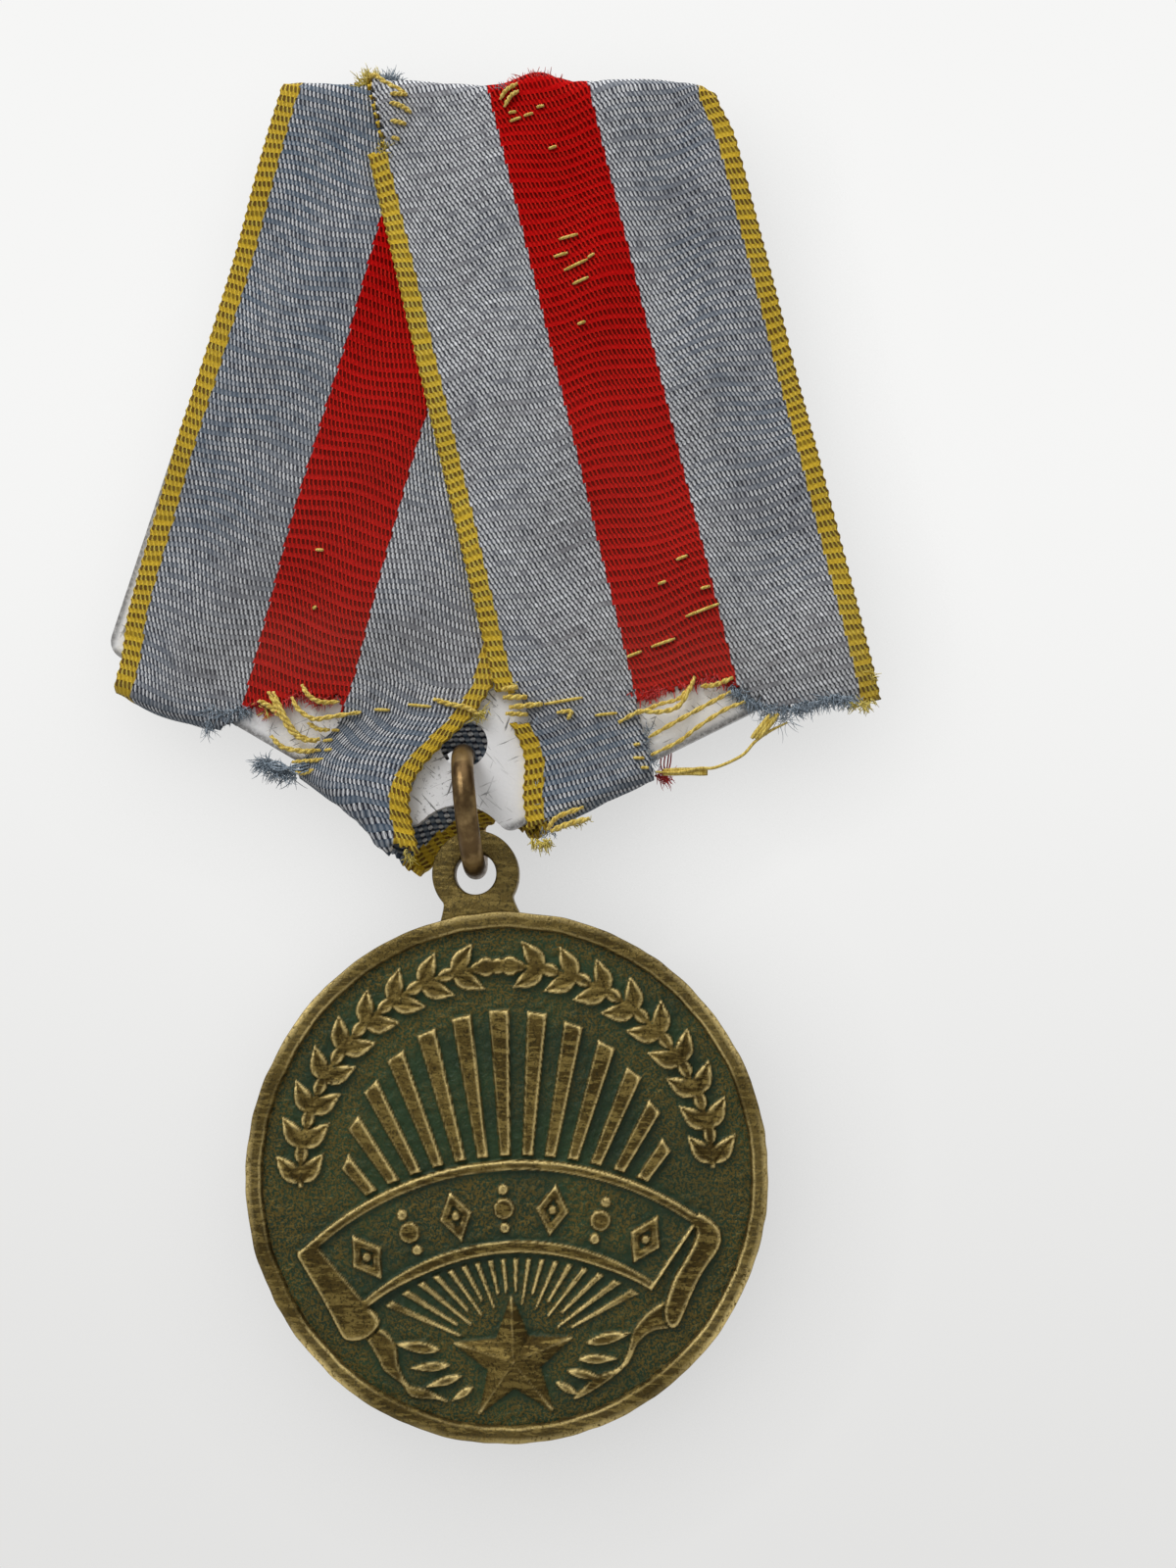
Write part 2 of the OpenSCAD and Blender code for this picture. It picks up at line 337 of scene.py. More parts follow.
def ribbon_material():
    """Ribbed ribbon. The weave attribute holds millimetres across and along, and dirt.

    Each row of the weave is half a rib, with painted shade in the gaps between the warp threads and painted
    highlights, glints, on the threads.
    """
    g = Graph("ribbon_weave")
    across, along, dirt = g.parts(g.attribute("weave", "Vector"))
    blueness = g.attribute("blueness")
    row_at = along / (RIB / 2)
    row = g.math("FLOOR", row_at)
    odd = g.math("FLOORED_MODULO", row, 2.0)
    down = g.math("FRACT", row_at) - 0.5
    warp_at = across / WARP + odd * 0.5 + down * -0.3
    aside = g.math("FRACT", warp_at) - 0.5
    chance = g.node("TexWhiteNoise", {"Vector": g.joined(g.math("FLOOR", warp_at), row)}, "Value")
    fine = g.noise(g.joined(across, along), 5.0, roughness=0.7)
    cloudy = g.noise(g.joined(across, along), 0.2)
    streak = g.noise(g.joined(across * 0.2, g.math("FLOOR", row * 0.5) * 0.9), detail=2.0)
    # painted light and shade on the weave: strong on every other row and in long streaks along the rows, weak
    # between
    strong = (1.0 - odd * 0.72) * g.mapped(streak, 0.32, 0.62, 0.65, 1.7)

    def spot(x, half_x, half_y):
        """1 about a place in a cell of the weave, fading to 0 round it."""
        place = g.joined(x / half_x, down / half_y)
        return g.mapped(g.node("VectorMath", {0: place}, "Value", operation="LENGTH"), 1.15, 0.5)

    # painted shade: the gaps between the warp threads are darkened as if in shadow; the same mask sinks them
    # in the bump
    gap_depth_and_shade = spot(aside, 0.38, 0.74) * strong * (chance * 0.45 + 0.95)
    # painted highlight: bright glints on the warp threads, stronger where the blue has faded
    painted_glint = spot(0.5 - g.math("ABSOLUTE", aside), 0.37, 0.66) * strong * (chance * 1.2 + 0.35)
    painted_glint = painted_glint * g.mapped(blueness, 0.1, 0.5, 1.4, 0.8)
    edge = across + (g.math("FRACT", along / (2 * RIB)) - 0.5) * 0.16 + (fine - 0.5) * 0.1

    def past(line, soft):
        """0 before a line along the ribbon and 1 past it; a negative softness swaps them."""
        return g.mapped(edge, line - soft, line + soft)

    # a ground colour with painted shade in the gaps and a painted highlight on the threads
    def with_painted_shade_and_glint(ground, gap_share, shade, glint_share, shine):
        return g.mix(glint_share, g.mix(gap_share, ground, shade), shine)

    faded = blueness + g.mapped(cloudy, 0.35, 0.65, -0.18, 0.18)
    blue = g.mix(faded, (0.20, 0.195, 0.21), (0.075, 0.125, 0.185))
    blue = g.mix(g.mapped(fine, 0.3, 0.7, 0.0, 0.35), blue, (0.06, 0.07, 0.09))
    # near-black, dark red and brown are the painted shade; near-white, bright red and pale yellow are the
    # painted highlight
    blue = with_painted_shade_and_glint(blue, g.math("MINIMUM", gap_depth_and_shade, 0.96), (0.008, 0.011, 0.028), painted_glint, (0.95, 0.97, 1.0))
    uneven = g.mapped(fine, 0.3, 0.7)
    red = with_painted_shade_and_glint(g.mix(uneven, (0.42, 0.001, 0.002), (0.66, 0.004, 0.004)),
               g.math("MINIMUM", gap_depth_and_shade, 0.9), (0.07, 0.0, 0.0), painted_glint * 0.6, (0.86, 0.02, 0.012))
    yellow = with_painted_shade_and_glint(g.mix(uneven, (0.55, 0.34, 0.008), (0.74, 0.50, 0.025)),
                  gap_depth_and_shade * 0.8, (0.16, 0.07, 0.003), painted_glint * 0.5, (0.95, 0.76, 0.13))
    in_red = past(STRIPES[1], 0.03) * past(STRIPES[2], -0.03)
    in_yellow = past(STRIPES[0], -0.04) + past(STRIPES[3], 0.04)
    colour = g.mix(in_yellow, g.mix(in_red, blue, red), yellow)
    g.set(Base_Color=g.mix(dirt * 0.4, colour, (0.15, 0.13, 0.09)), Roughness=0.8,
          Specular_IOR_Level=0.22 - in_red * 0.2)
    return g.bumped(fine * 0.4 - gap_depth_and_shade, 0.00009, 0.9)


def thread_material(name, dark, light):
    """Fibres in streaks of two colours."""
    g = Graph(name)
    streak = g.noise(g.scaled(g.place(), (9000.0, 9000.0, 2500.0)), detail=2.0)
    g.set(Base_Color=g.mix(g.mapped(streak, 0.35, 0.65), dark, light), Roughness=0.7, Sheen_Weight=0.3,
          Specular_IOR_Level=0.3)
    return g.bumped(streak, 0.00003, 0.6)


def disc_material():
    """Antique brass over a green field; relief, edge and wear are attributes of the struck mesh."""
    g = Graph("struck_brass")
    place = g.place()
    relief, edge, wear = g.attribute("relief"), g.attribute("edge"), g.attribute("wear")
    fine = g.noise(place, 5200.0, roughness=0.6)
    stipple = g.noise(place, 6200.0, roughness=0.65)
    cloudy = g.noise(place, 170.0, 4.0, 0.6)
    brushed = g.noise(g.scaled(place, (900.0, 900.0, 4200.0)))
    green = g.mix(g.mapped(cloudy, 0.38, 0.62), (0.010, 0.032, 0.010), (0.018, 0.050, 0.014))
    bare = g.mix(fine, (0.07, 0.050, 0.012), (0.22, 0.155, 0.042))
    speckle = g.mapped(stipple, 0.44, 0.56) * (wear * 0.85 + 0.06)
    brown = g.mix(g.mapped(cloudy, 0.35, 0.62), (0.06, 0.040, 0.010), (0.13, 0.090, 0.024))
    tops = g.mix(g.mapped(brushed, 0.46, 0.60, 0.0, 0.75), brown, (0.25, 0.18, 0.052))
    tops = g.mix(g.mapped(fine, 0.53, 0.62, 0.0, 0.7), tops, (0.026, 0.022, 0.009))
    # bright gold on convex edges and rim corners: partly bare worn brass, partly a painted highlight
    edge_wear_and_highlight = edge * g.mapped(fine, 0.28, 0.52)
    colour = g.mix(edge_wear_and_highlight, g.mix(relief, g.mix(speckle, green, bare), tops), (0.80, 0.62, 0.26))
    metal = g.math("MAXIMUM", g.math("MAXIMUM", relief, speckle), edge_wear_and_highlight)
    g.set(Base_Color=colour, Metallic=metal * 0.85, Roughness=g.mapped(fine, 0.2, 0.8, 0.36, 0.58),
          Specular_IOR_Level=0.3)
    return g.bumped(fine * 0.4 + stipple + brushed * 0.3, 0.00009, 0.9)


def plate_material():
    """Bright metal with fine dark scratches in four directions, pitted patches and painted shade as a dark
    line at the rim.
    """
    g = Graph("scratched_aluminium")
    place = g.place()
    x, _, z = g.parts(place)
    patches = g.noise(place, 260.0)
    fine = g.noise(place, 3800.0, 4.0, 0.7)
    scratch = 0.0
    for angle, low in ((0.45, 0.655), (-0.62, 0.665), (1.25, 0.66), (2.3, 0.67)):
        c, s = math.cos(angle), math.sin(angle)
        along = x * (c * 420) + z * (s * 420)
        across = x * (-s * 5200) + z * (c * 5200)
        line = g.noise(g.joined(along, across, angle * 9), detail=2.0)
        scratch = g.math("MAXIMUM", scratch, g.mapped(line, low, low + 0.05))
    scratch = scratch * g.mapped(patches, 0.36, 0.58, 0.25, 1.0)
    pits = g.mapped(fine, 0.56, 0.66) * g.mapped(patches, 0.5, 0.64)
    past_side = -1.0
    for normal_x, normal_z, offset in (LOWER_SIDE, UPPER_SIDE):
        past = g.math("ABSOLUTE", x) * normal_x + (z - TIP_Z * MM) * normal_z - offset * MM
        past_side = g.math("MAXIMUM", past_side, past)
    # painted shade: a dark line just inside the plate's outline, where its edge would fall in shadow
    rim = g.mapped(past_side, -0.0006, -0.0001) * g.mapped(fine, 0.3, 0.6, 0.5, 1.0)
    dark = g.math("MAXIMUM", g.math("MAXIMUM", scratch, pits * 0.8), rim)
    bright = g.mix(fine, (0.93, 0.925, 0.93), (1.0, 1.0, 1.0))
    g.set(Base_Color=g.mix(dark * 0.85, bright, (0.10, 0.095, 0.09)), Metallic=0.05,
          Roughness=g.mapped(fine, 0.3, 0.7, 0.35, 0.5))
    return g.bumped(fine - dark, 0.00004, 0.6)


def steel_material(name, colour, rough):
    """Spotted grey metal with grain along X."""
    g = Graph(name)
    grain = g.noise(g.scaled(g.place(), (400.0, 4000.0, 4000.0)))
    spots = g.noise(g.place(), 500.0, 4.0, 0.65)
    tint = tuple(c * 0.45 for c in colour)
    g.set(Base_Color=g.mix(g.mapped(spots, 0.5, 0.72), colour, tint), Metallic=0.95,
          Roughness=g.mapped(grain, 0.3, 0.7, rough, rough + 0.18))
    return g.bumped(grain, 0.00002, 0.6)


def ring_material():
    """Brown bronze, worn bright in patches."""
    g = Graph("bronze_patina")
    cloudy = g.noise(g.place(), 420.0, 4.0, 0.6)
    fine = g.noise(g.place(), 3200.0)
    brown = g.mix(fine, (0.085, 0.05, 0.02), (0.16, 0.10, 0.042))
    g.set(Base_Color=g.mix(g.mapped(cloudy, 0.45, 0.66), brown, (0.34, 0.23, 0.10)), Metallic=0.9,
          Roughness=g.mapped(fine, 0.3, 0.7, 0.3, 0.5))
    return g.bumped(fine, 0.00003, 0.6)


# ---- ribbon

class Half:
    """One half of the ribbon: turned-over end, fall, wrap round the lower side, and run up to the crease.

    Flat places are in the plane of the plate's front, as if the half were unfolded there; u runs across the
    ribbon and v along it. side is -1 for the left fall and 1 for the right, and under is the thickness of
    what lies between the half and the plate's back.
    """

    def __init__(self, side, top_x, lean, under=0.0):
        self.side = side
        self.start = np.array([top_x, PLATE_H])
        self.across = np.array([math.cos(lean), math.sin(lean)])
        self.along = np.array([math.sin(lean), -math.cos(lean)])
        self.front_r = HALF_PLATE + RIBBON_T / 2 + CLOTH_GAP
        self.back_r = self.front_r + under
        self.wrap = math.pi * (self.front_r + self.back_r) / 2
        self.normal = np.array([side * LOWER_SIDE[0], LOWER_SIDE[1]])

    def flat(self, u, v):
        return self.start + u[..., None] * self.across + v[..., None] * self.along

    def first_v(self, u):
        """Where the turned-over end stops."""
        return (TURNOVER + self.wrap - u * self.across[1]) / self.along[1]

    def last_v(self, u):
        """Where the run behind the plate meets the crease."""
        def height(v):
            p = self.flat(u, v)
            return p[..., 1] + (self.wrap - 2 * p @ self.normal) * self.normal[1]
        at_0, at_1 = height(np.zeros_like(u)), height(np.ones_like(u))
        return (CREASE_H - at_0) / (at_1 - at_0)

    def top_line(self, x):
        """Height of the fold over the plate's top edge."""
        if self.side < 0:
            return TOP_FOLD_H + 0 * x
        return TOP_FOLD_H + 0.72 * smooth(2, 12, x) - 0.75 * smooth(13.2, 15.2, x) + 0.9 * bump(x, 2.9, 1.7)

    def fold(self, p, lift, out, slack, loose):
        """Folded place of flat places p.

        lift raises the front, out is the distance out of the cloth's middle, slack moves the lower fold away
        from the plate's side, and loose places hang straight down in front of it.
        """
        past_side = p @ self.normal - slack
        past_top = p[..., 1] - self.top_line(p[..., 0])
        hang = np.where(loose, np.maximum(past_side, 0), 0)
        past_side = past_side - hang
        s = np.maximum(past_side, past_top)
        n = np.where((past_side > past_top)[..., None], self.normal, [0.0, 1.0])
        turn = np.clip(s / self.wrap, 0, 1)
        angle = turn * math.pi
        flat_back = p - n * (np.maximum(s, 0) + np.maximum(s - self.wrap, 0))[..., None]
        bulge = 0.6 * smooth(2.5, 1.75, flat_back[..., 1]) * smooth(6.5, 4.5, np.abs(flat_back[..., 0]))
        r = (self.front_r + lift) * (1 - turn) + (self.back_r + bulge) * turn + out
        place = flat_back + n * (np.sin(angle) * r)[..., None]
        return np.stack([place[..., 0], PLATE_MID - r * np.cos(angle) + 0.06 * hang ** 2, place[..., 1]], -1)


LEFT = Half(-1, LEFT_TOP_X, LEFT_LEAN)
RIGHT = Half(1, RIGHT_TOP_X, RIGHT_LEAN, RIBBON_T)


def inside(points, p):
    """Whether places p lie inside an outline."""
    x, z = p[..., 0], p[..., 1]
    hit = np.zeros(x.shape, bool)
    for (x0, z0), (x1, z1) in zip(points, points[1:] + points[:1]):
        crosses = (z0 > z) != (z1 > z)
        hit ^= crosses & (x < x0 + (z - z0) * (x1 - x0) / (z1 - z0 + 1e-12))
    return hit


# Worn-through places, as outlines on the unfolded front
LEFT_HOLE = [(-13.9, 8.2), (-13.1, 9.1), (-12.6, 8.2), (-12.2, 8.6), (-11.6, 8.6), (-10.9, 9.6),
             (-10.0, 10.0), (-9.3, 9.4), (-8.3, 9.7), (-7.7, 10.0), (-7.9, 8.2), (-8.8, 7.2), (-9.5, 6.5),
             (-10.2, 5.6), (-10.6, 4.6), (-11.5, 2.5), (-16.9, 4.5), (-16.5, 7.2)]
RIGHT_HOLE = [(10.4, 10.9), (10.9, 10.0), (11.6, 10.5), (12.1, 10.9), (13.1, 10.9), (14.2, 11.4),
              (15.4, 11.8), (16.6, 11.4), (18.6, 10.4), (18.6, 5.0), (14.0, 3.0), (12.2, 5.6), (11.8, 6.6),
              (11.7, 7.8), (11.1, 8.9)]
RIGHT_TORN = [(16.6, 11.4), (17.8, 10.5), (19.7, 10.0), (21.2, 10.1), (22.6, 10.6), (24.3, 10.6),
              (24.9, 10.3), (26.2, 10.6), (32.0, 9.0), (30.0, 4.0), (20.0, 2.0), (15.0, 2.0)]


def left_shape(u, v):
    """Flat places, lift, slack and looseness of the left half, with its bowed inner edge."""
    p = LEFT.flat(u, v)
    z = p[..., 1]
    inner = smooth(12.0, 21.5, u)
    bow = inner * np.interp(z, [-8, -3, -0.5, 1.9, 3.2, 4.5, 5.7, 6.9, 8.75, 10.7],
                            [0, -1.3, -1.4, -2.7, -3.25, -3.4, -2.95, -2.15, -0.8, 0])
    bow = bow - 1.25 * smooth(22.5, 15.5, u) * (u > STRIPES[2]) * smooth(8.6, 5.6, z)
    bow = bow + 0.12 * np.sin(z / 5.1 + 0.6) * smooth(50, 46, z) + 0.42 * smooth(15, 11, z) * smooth(7, 0, u)
    p = p + np.stack([bow, 0 * bow], -1)
    lift = 0.22 * inner * bump(z, 6.0, 3.0) + 0.42 * inner * smooth(6.0, 2.5, z)
    lift = lift + 0.2 * inner * smooth(2.2, 0.4, z)
    lift = lift + 0.09 * np.sin(u * 0.62 + v * 0.33) + 0.06 * np.sin(u * 0.31 - v * 0.71)
    slack = 1.1 * smooth(9, 2, u) * smooth(20, 14, z) + 0.95 * smooth(18.5, 23, u) * smooth(5, 1, z)
    return p, lift, slack, False


def right_shape(u, v):
    """The same of the right half, which lies on the left fall where the two cross."""
    p = RIGHT.flat(u, v)
    z = p[..., 1]
    aside = 0.85 * smooth(9.0, 1.2, u) * bump(z, 6.6, 2.3) - 0.5 * bump(z, 50, 1.5) * smooth(20, 23, u)
    p = p + np.stack([aside, 0 * z], -1)
    on_left = smooth(RIBBON_W + 4.0, RIBBON_W - 0.6, (p - LEFT.start) @ LEFT.across)
    lift = (RIBBON_T + CLOTH_GAP) * on_left + 0.3 * smooth(17.0, 23.5, u) * smooth(30.0, 10.0, z)
    lift = lift + 0.10 * np.sin(u * 0.55 - v * 0.36 + 1.0) + 0.07 * np.sin(u * 0.33 + v * 0.62)
    return p, lift, 0.0, (p[..., 0] > 16.2) & (p @ RIGHT.normal < 2.9)


def ragged(p, u, size):
    """Flat places with their height made uneven across the ribbon."""
    wander = size * (np.sin(37.0 * u) + 0.6 * np.sin(61.0 * u + 2.0) + 0.5 * np.sin(17.0 * u + 1.0))
    return p + np.stack([0 * wander, wander], -1)


def behind(half, p):
    """Where a flat place that has gone round the lower side lies behind the plate, and whether it has."""
    s = p @ half.normal
    place = p - half.normal * (2 * s - half.wrap)[..., None]
    return place[..., 0], place[..., 1], s > half.wrap


def ring_room(x, z):
    """Room that the ring needs in the cloth behind the plate."""
    return (np.hypot(x, z - RING_THROUGH_H) < 1.0) | ((z < 0.45) & (np.abs(x) < 2.6))


def kept_left(p, u, v):
    """Whether cells of the left half are there: not worn away, nor cut for the ring and the lug."""
    x, z = p[..., 0], p[..., 1]
    s = p @ LEFT.normal
    back_x, back_z, at_back = behind(LEFT, p)
    lug_room = (back_x > 0.9) & (np.hypot(back_x - 1.2, back_z + 1.2) < 2.95)
    gone = inside(LEFT_HOLE, ragged(p, u, 0.14)) & (s < 3.2)
    gone |= (u > STRIPES[1]) & (u < STRIPES[2]) & (z < 8.8) & (s < 3.2)
    gone |= (x > -4.6) & (s > 1.1 + 0.9 * smooth(-3.8, -4.6, x)) & (s < LEFT.wrap)
    return ~(gone | (at_back & (ring_room(back_x, back_z) | lug_room)))


def kept_right(p, u, v):
    """The same for the right half, which is also worn at its upper inner edge."""
    x, z = p[..., 0], p[..., 1]
    s = p @ RIGHT.normal
    back_x, back_z, at_back = behind(RIGHT, p)
    worn = ragged(p, u, 0.13)
    gone = inside(RIGHT_HOLE, worn) & (s < 3.4)
    gone |= inside(RIGHT_TORN, worn) & (s < 3.6)
    gone |= (u > STRIPES[1]) & (u < STRIPES[2]) & (z < 10.2) & (s < 3.4)
    gone |= (u < 1.3) & (z > 8.45) & (z < 10.4)
    gone |= (x < 5.0) & (s > 0.5) & (s < RIGHT.wrap)
    gone |= (u < 1.15 + 0.3 * np.sin(9 * v)) & (z > 45.4) & (z < 51.0)
    return ~(gone | (at_back & ring_room(back_x, back_z)))


def blue_left(u, z):
    """How blue the left half's outer stripes still are, from faded grey at 0."""
    return (0.3 + 0.55 * smooth(13, 2, u) * smooth(10, 30, z) + 0.75 * smooth(10.5, 6.0, z)
            + 0.25 * smooth(36, 46, z))


def blue_right(u, z):
    return 0.12 + 0.4 * smooth(14, 20, u) * smooth(14, 26, z) + 0.75 * smooth(10.5, 7.5, z)


def ribbon_half(name, half, shape, kept, blueness, seed):
    """Closed ribbed sheet of one half, with its worn places open."""
    step = RIB / 4
    us = np.linspace(0, RIBBON_W, 101)
    first, last = half.first_v(us), half.last_v(us)
    u, v = np.meshgrid(us, np.arange(first.min(), last.max() + step, step), indexing="ij")
    first, last = first[:, None], last[:, None]
    clipped = np.clip(v, first, last)
    waves = 0.22 * np.sin(u * 0.86 + v * 0.24 + seed) + 0.13 * np.sin(u * 0.37 - v * 0.51)
    drawn = np.clip(clipped + waves * smooth(0, 3, v) * smooth(46, 40, v), first, last)
    selvedge = smooth(1.35, 1.05, u) + smooth(RIBBON_W - 1.35, RIBBON_W - 1.05, u)
    edge = smooth(0.7, 0.0, u) - smooth(RIBBON_W - 0.7, RIBBON_W, u)
    beat = np.cos(2 * math.pi * v / RIB)
    p, lift, slack, loose = shape(u + 0.07 * edge * beat, drawn)
    rib = (0.035 + 0.02 * selvedge) * beat + 0.03 * selvedge
    outer = half.fold(p, lift, RIBBON_T / 2 + rib, slack, loose)
    inner = half.fold(p, lift, -RIBBON_T / 2 + 0.5 * rib, slack, loose)

    centre = (p[1:, 1:] + p[:-1, 1:] + p[1:, :-1] + p[:-1, :-1]) / 4
    keep = kept(centre, (u[1:, 1:] + u[:-1, 1:]) / 2, (v[1:, 1:] + v[1:, :-1]) / 2)
    length = clipped[:, 1:] - clipped[:, :-1]
    keep &= (length[1:] + length[:-1]) > 0.02 * step

    count = u.size
    corners = cell_corners(u.shape)
    quads = np.stack(corners, -1)[keep]
    walls = [np.stack([i, j, j + count, i + count], -1) for i, j in borders(keep, corners)]
    faces, used = without_unused([*quads[:, ::-1], *(quads + count), *np.vstack(walls)], 2 * count)
    flat = np.arange(len(faces)) >= 2 * len(quads)
    points = np.concatenate([outer.reshape(-1, 3), inner.reshape(-1, 3)])
    z = p[..., 1]
    dirt = 0.3 * bump(z, 12.5, 3.5) * smooth(2, 6, u) + 0.25 * bump(u, 12, 9) * bump(z, 20, 12)
    weave = np.tile(np.stack([u, v, dirt], -1).reshape(-1, 3), (2, 1))
    tone = np.tile(np.clip(blueness(u, z), 0, 1).ravel(), 2)
    attributes = {"weave": weave[used], "blueness": tone[used]}
    return sewn(make_mesh(name, to_frame(points[used]), faces, flat, attributes))


def sewn(piece):
    """A piece that stands for the ribbon and moves with the plate."""
    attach(piece, "suspension")
    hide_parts("ribbon")
    return piece


# ---- worn threads and fuzz

def cloth_height(x, z):
    """How far the cloth's outer face stands in front of the plate."""
    for half, shape in ((RIGHT, right_shape), (LEFT, left_shape)):
        place = np.array([x, z]) - half.start
        u = place @ half.across
        if -0.3 < u < RIBBON_W + 0.3 or half is LEFT:
            lift = shape(np.array([u]), np.array([place @ half.along]))[1]
            return half.front_r + float(lift[0]) + RIBBON_T / 2 - HALF_PLATE


def thread(points, radius, bow, rest=None, steps=6):
    """Path and radius of a thread with its ends on the cloth, or at rest's heights, and its middle bowed."""
    path = spline(points, len(points) * steps)
    t = np.linspace(0, 1, len(path))
    start, end = rest or (cloth_height(*points[0]) + 0.6 * radius, cloth_height(*points[-1]) + 0.6 * radius)
    height = start + (end - start) * t + bow * np.sin(math.pi * t)
    taper = radius * (0.65 + 0.35 * np.minimum(1, 6 * np.minimum(t, 1 - t)))
    return np.stack([path[:, 0], PLATE_FRONT - height, path[:, 1]], -1), taper


def two_ply(path, radius):
    """Two strands laid round each other along a path."""
    turn = np.arange(len(path)) * 0.9
    side = np.cross(directions(path), [0.0, 1.0, 0.0])
    strands = []
    for phase in (0, math.pi):
        shift = side * np.cos(turn + phase)[:, None] + np.array([0, 1.0, 0]) * np.sin(turn + phase)[:, None]
        strands.append((path + shift * radius[:, None] * 0.5, radius * 0.68))
    return strands


def hairs(rng, edge, count, heading, spread, length, radius, depth=0.25, height=None):
    """Short curling fibres from along an edge, which point about a heading, in degrees from straight down."""
    rail = spline(edge, 80)
    fibres = []
    for _ in range(count):
        x, z = rail[rng.integers(80)] + rng.normal(0, 0.12, 2)
        h = (cloth_height(x, z) if height is None else height) + rng.uniform(-depth, 0.05)
        angle = math.radians(heading + rng.normal(0, spread))
        size = rng.uniform(*length)
        bend, lift = rng.normal(0, 0.9), rng.normal(0, 0.35)
        places = [(x, PLATE_FRONT - h, z)]
        for _ in range(HAIR_STEPS):
            angle += bend * size / HAIR_STEPS
            x += math.sin(angle) * size / HAIR_STEPS
            z -= math.cos(angle) * size / HAIR_STEPS
            h += lift * size / HAIR_STEPS
            places.append((x, PLATE_FRONT - h, z))
        fibres.append((np.array(places), radius * np.array(HAIR_TAPER)))
    return fibres


HAIR_STEPS = 5
HAIR_TAPER = (1, 1, 0.9, 0.8, 0.6, 0.3)
# Loose yellow weft: radius, forward bow and places on the front
LOOSE_WEFT = (
    (0.15, 0.35, [(-10.3, 10.4), (-9.8, 9.7), (-9.0, 9.3), (-7.9, 9.4)]),
    (0.15, 0.45, [(-10.9, 9.6), (-10.4, 8.8), (-9.4, 8.2), (-8.3, 8.4), (-6.5, 8.8)]),
    (0.16, 0.20, [(-12.4, 9.9), (-11.9, 9.1), (-11.4, 8.3), (-10.8, 7.4), (-9.9, 6.9), (-9.0, 7.0)]),
    (0.14, 0.30, [(-12.1, 9.9), (-11.6, 9.0), (-11.0, 8.0), (-10.3, 7.2), (-9.2, 6.8)]),
    (0.17, 0.10, [(-13.0, 9.3), (-12.2, 8.9), (-11.5, 8.3)]),
    (0.16, 0.05, [(-12.1, 7.1), (-11.3, 6.4), (-10.0, 6.2), (-9.2, 6.3)]),
    (0.14, 0.15, [(-9.8, 8.0), (-9.1, 7.6), (-8.4, 7.6)]),
    (0.13, 0.05, [(-10.7, 5.5), (-9.7, 5.6), (-8.9, 5.7)]),
    (0.12, 0.05, [(-10.5, 4.9), (-10.0, 4.8), (-9.4, 5.0)]),
    (0.15, 0.45, [(14.4, 11.8), (14.1, 11.0), (13.4, 9.8), (12.2, 9.4), (11.0, 9.4), (9.7, 8.7)]),
    (0.12, 0.35, [(14.0, 11.1), (13.4, 10.3), (12.2, 9.9), (11.1, 9.4)]),
    (0.14, 0.30, [(16.7, 10.9), (15.4, 10.1), (13.4, 8.9), (11.6, 7.8)]),
    (0.13, 0.20, [(17.6, 10.3), (16.3, 9.7), (14.6, 8.5), (13.5, 7.6), (11.8, 6.7)]),
    (0.15, 0.10, [(16.8, 11.8), (15.7, 11.3), (14.8, 11.2)]),
    (0.15, 0.15, [(5.5, 1.8), (6.1, 2.6), (7.7, 3.3)]),
    (0.18, 0.05, [(5.7, 1.7), (6.8, 2.2), (8.1, 2.6)]),
    (0.16, 0.10, [(-2.0, 9.8), (-1.0, 9.5), (0.1, 9.3), (0.9, 8.9)]),
    (0.17, 0.05, [(2.3, 10.5), (3.3, 10.7)]),
    (0.17, 0.05, [(2.4, 10.0), (3.9, 10.1)]),
    (0.17, 0.05, [(2.8, 9.4), (4.9, 9.7)]),
    (0.15, 0.05, [(2.6, 9.0), (4.0, 9.0)]),
    (0.13, 0.10, [(5.8, 9.2), (6.7, 9.3), (6.5, 8.8)]),
    (0.14, 0.05, [(-6.5, 49.3), (-5.4, 49.3)]),
    (0.15, 0.05, [(-6.5, 48.7), (-5.8, 48.5), (-5.1, 48.1)]),
    (0.14, 0.05, [(-6.4, 47.5), (-5.4, 47.3)]),
    (0.12, 0.05, [(-6.3, 46.4), (-5.8, 46.3)]),
    (0.13, 0.10, [(0.6, 49.3), (1.0, 49.9), (1.7, 50.4)]),
    (0.13, 0.10, [(0.9, 48.8), (1.3, 49.5), (1.8, 49.9)]))
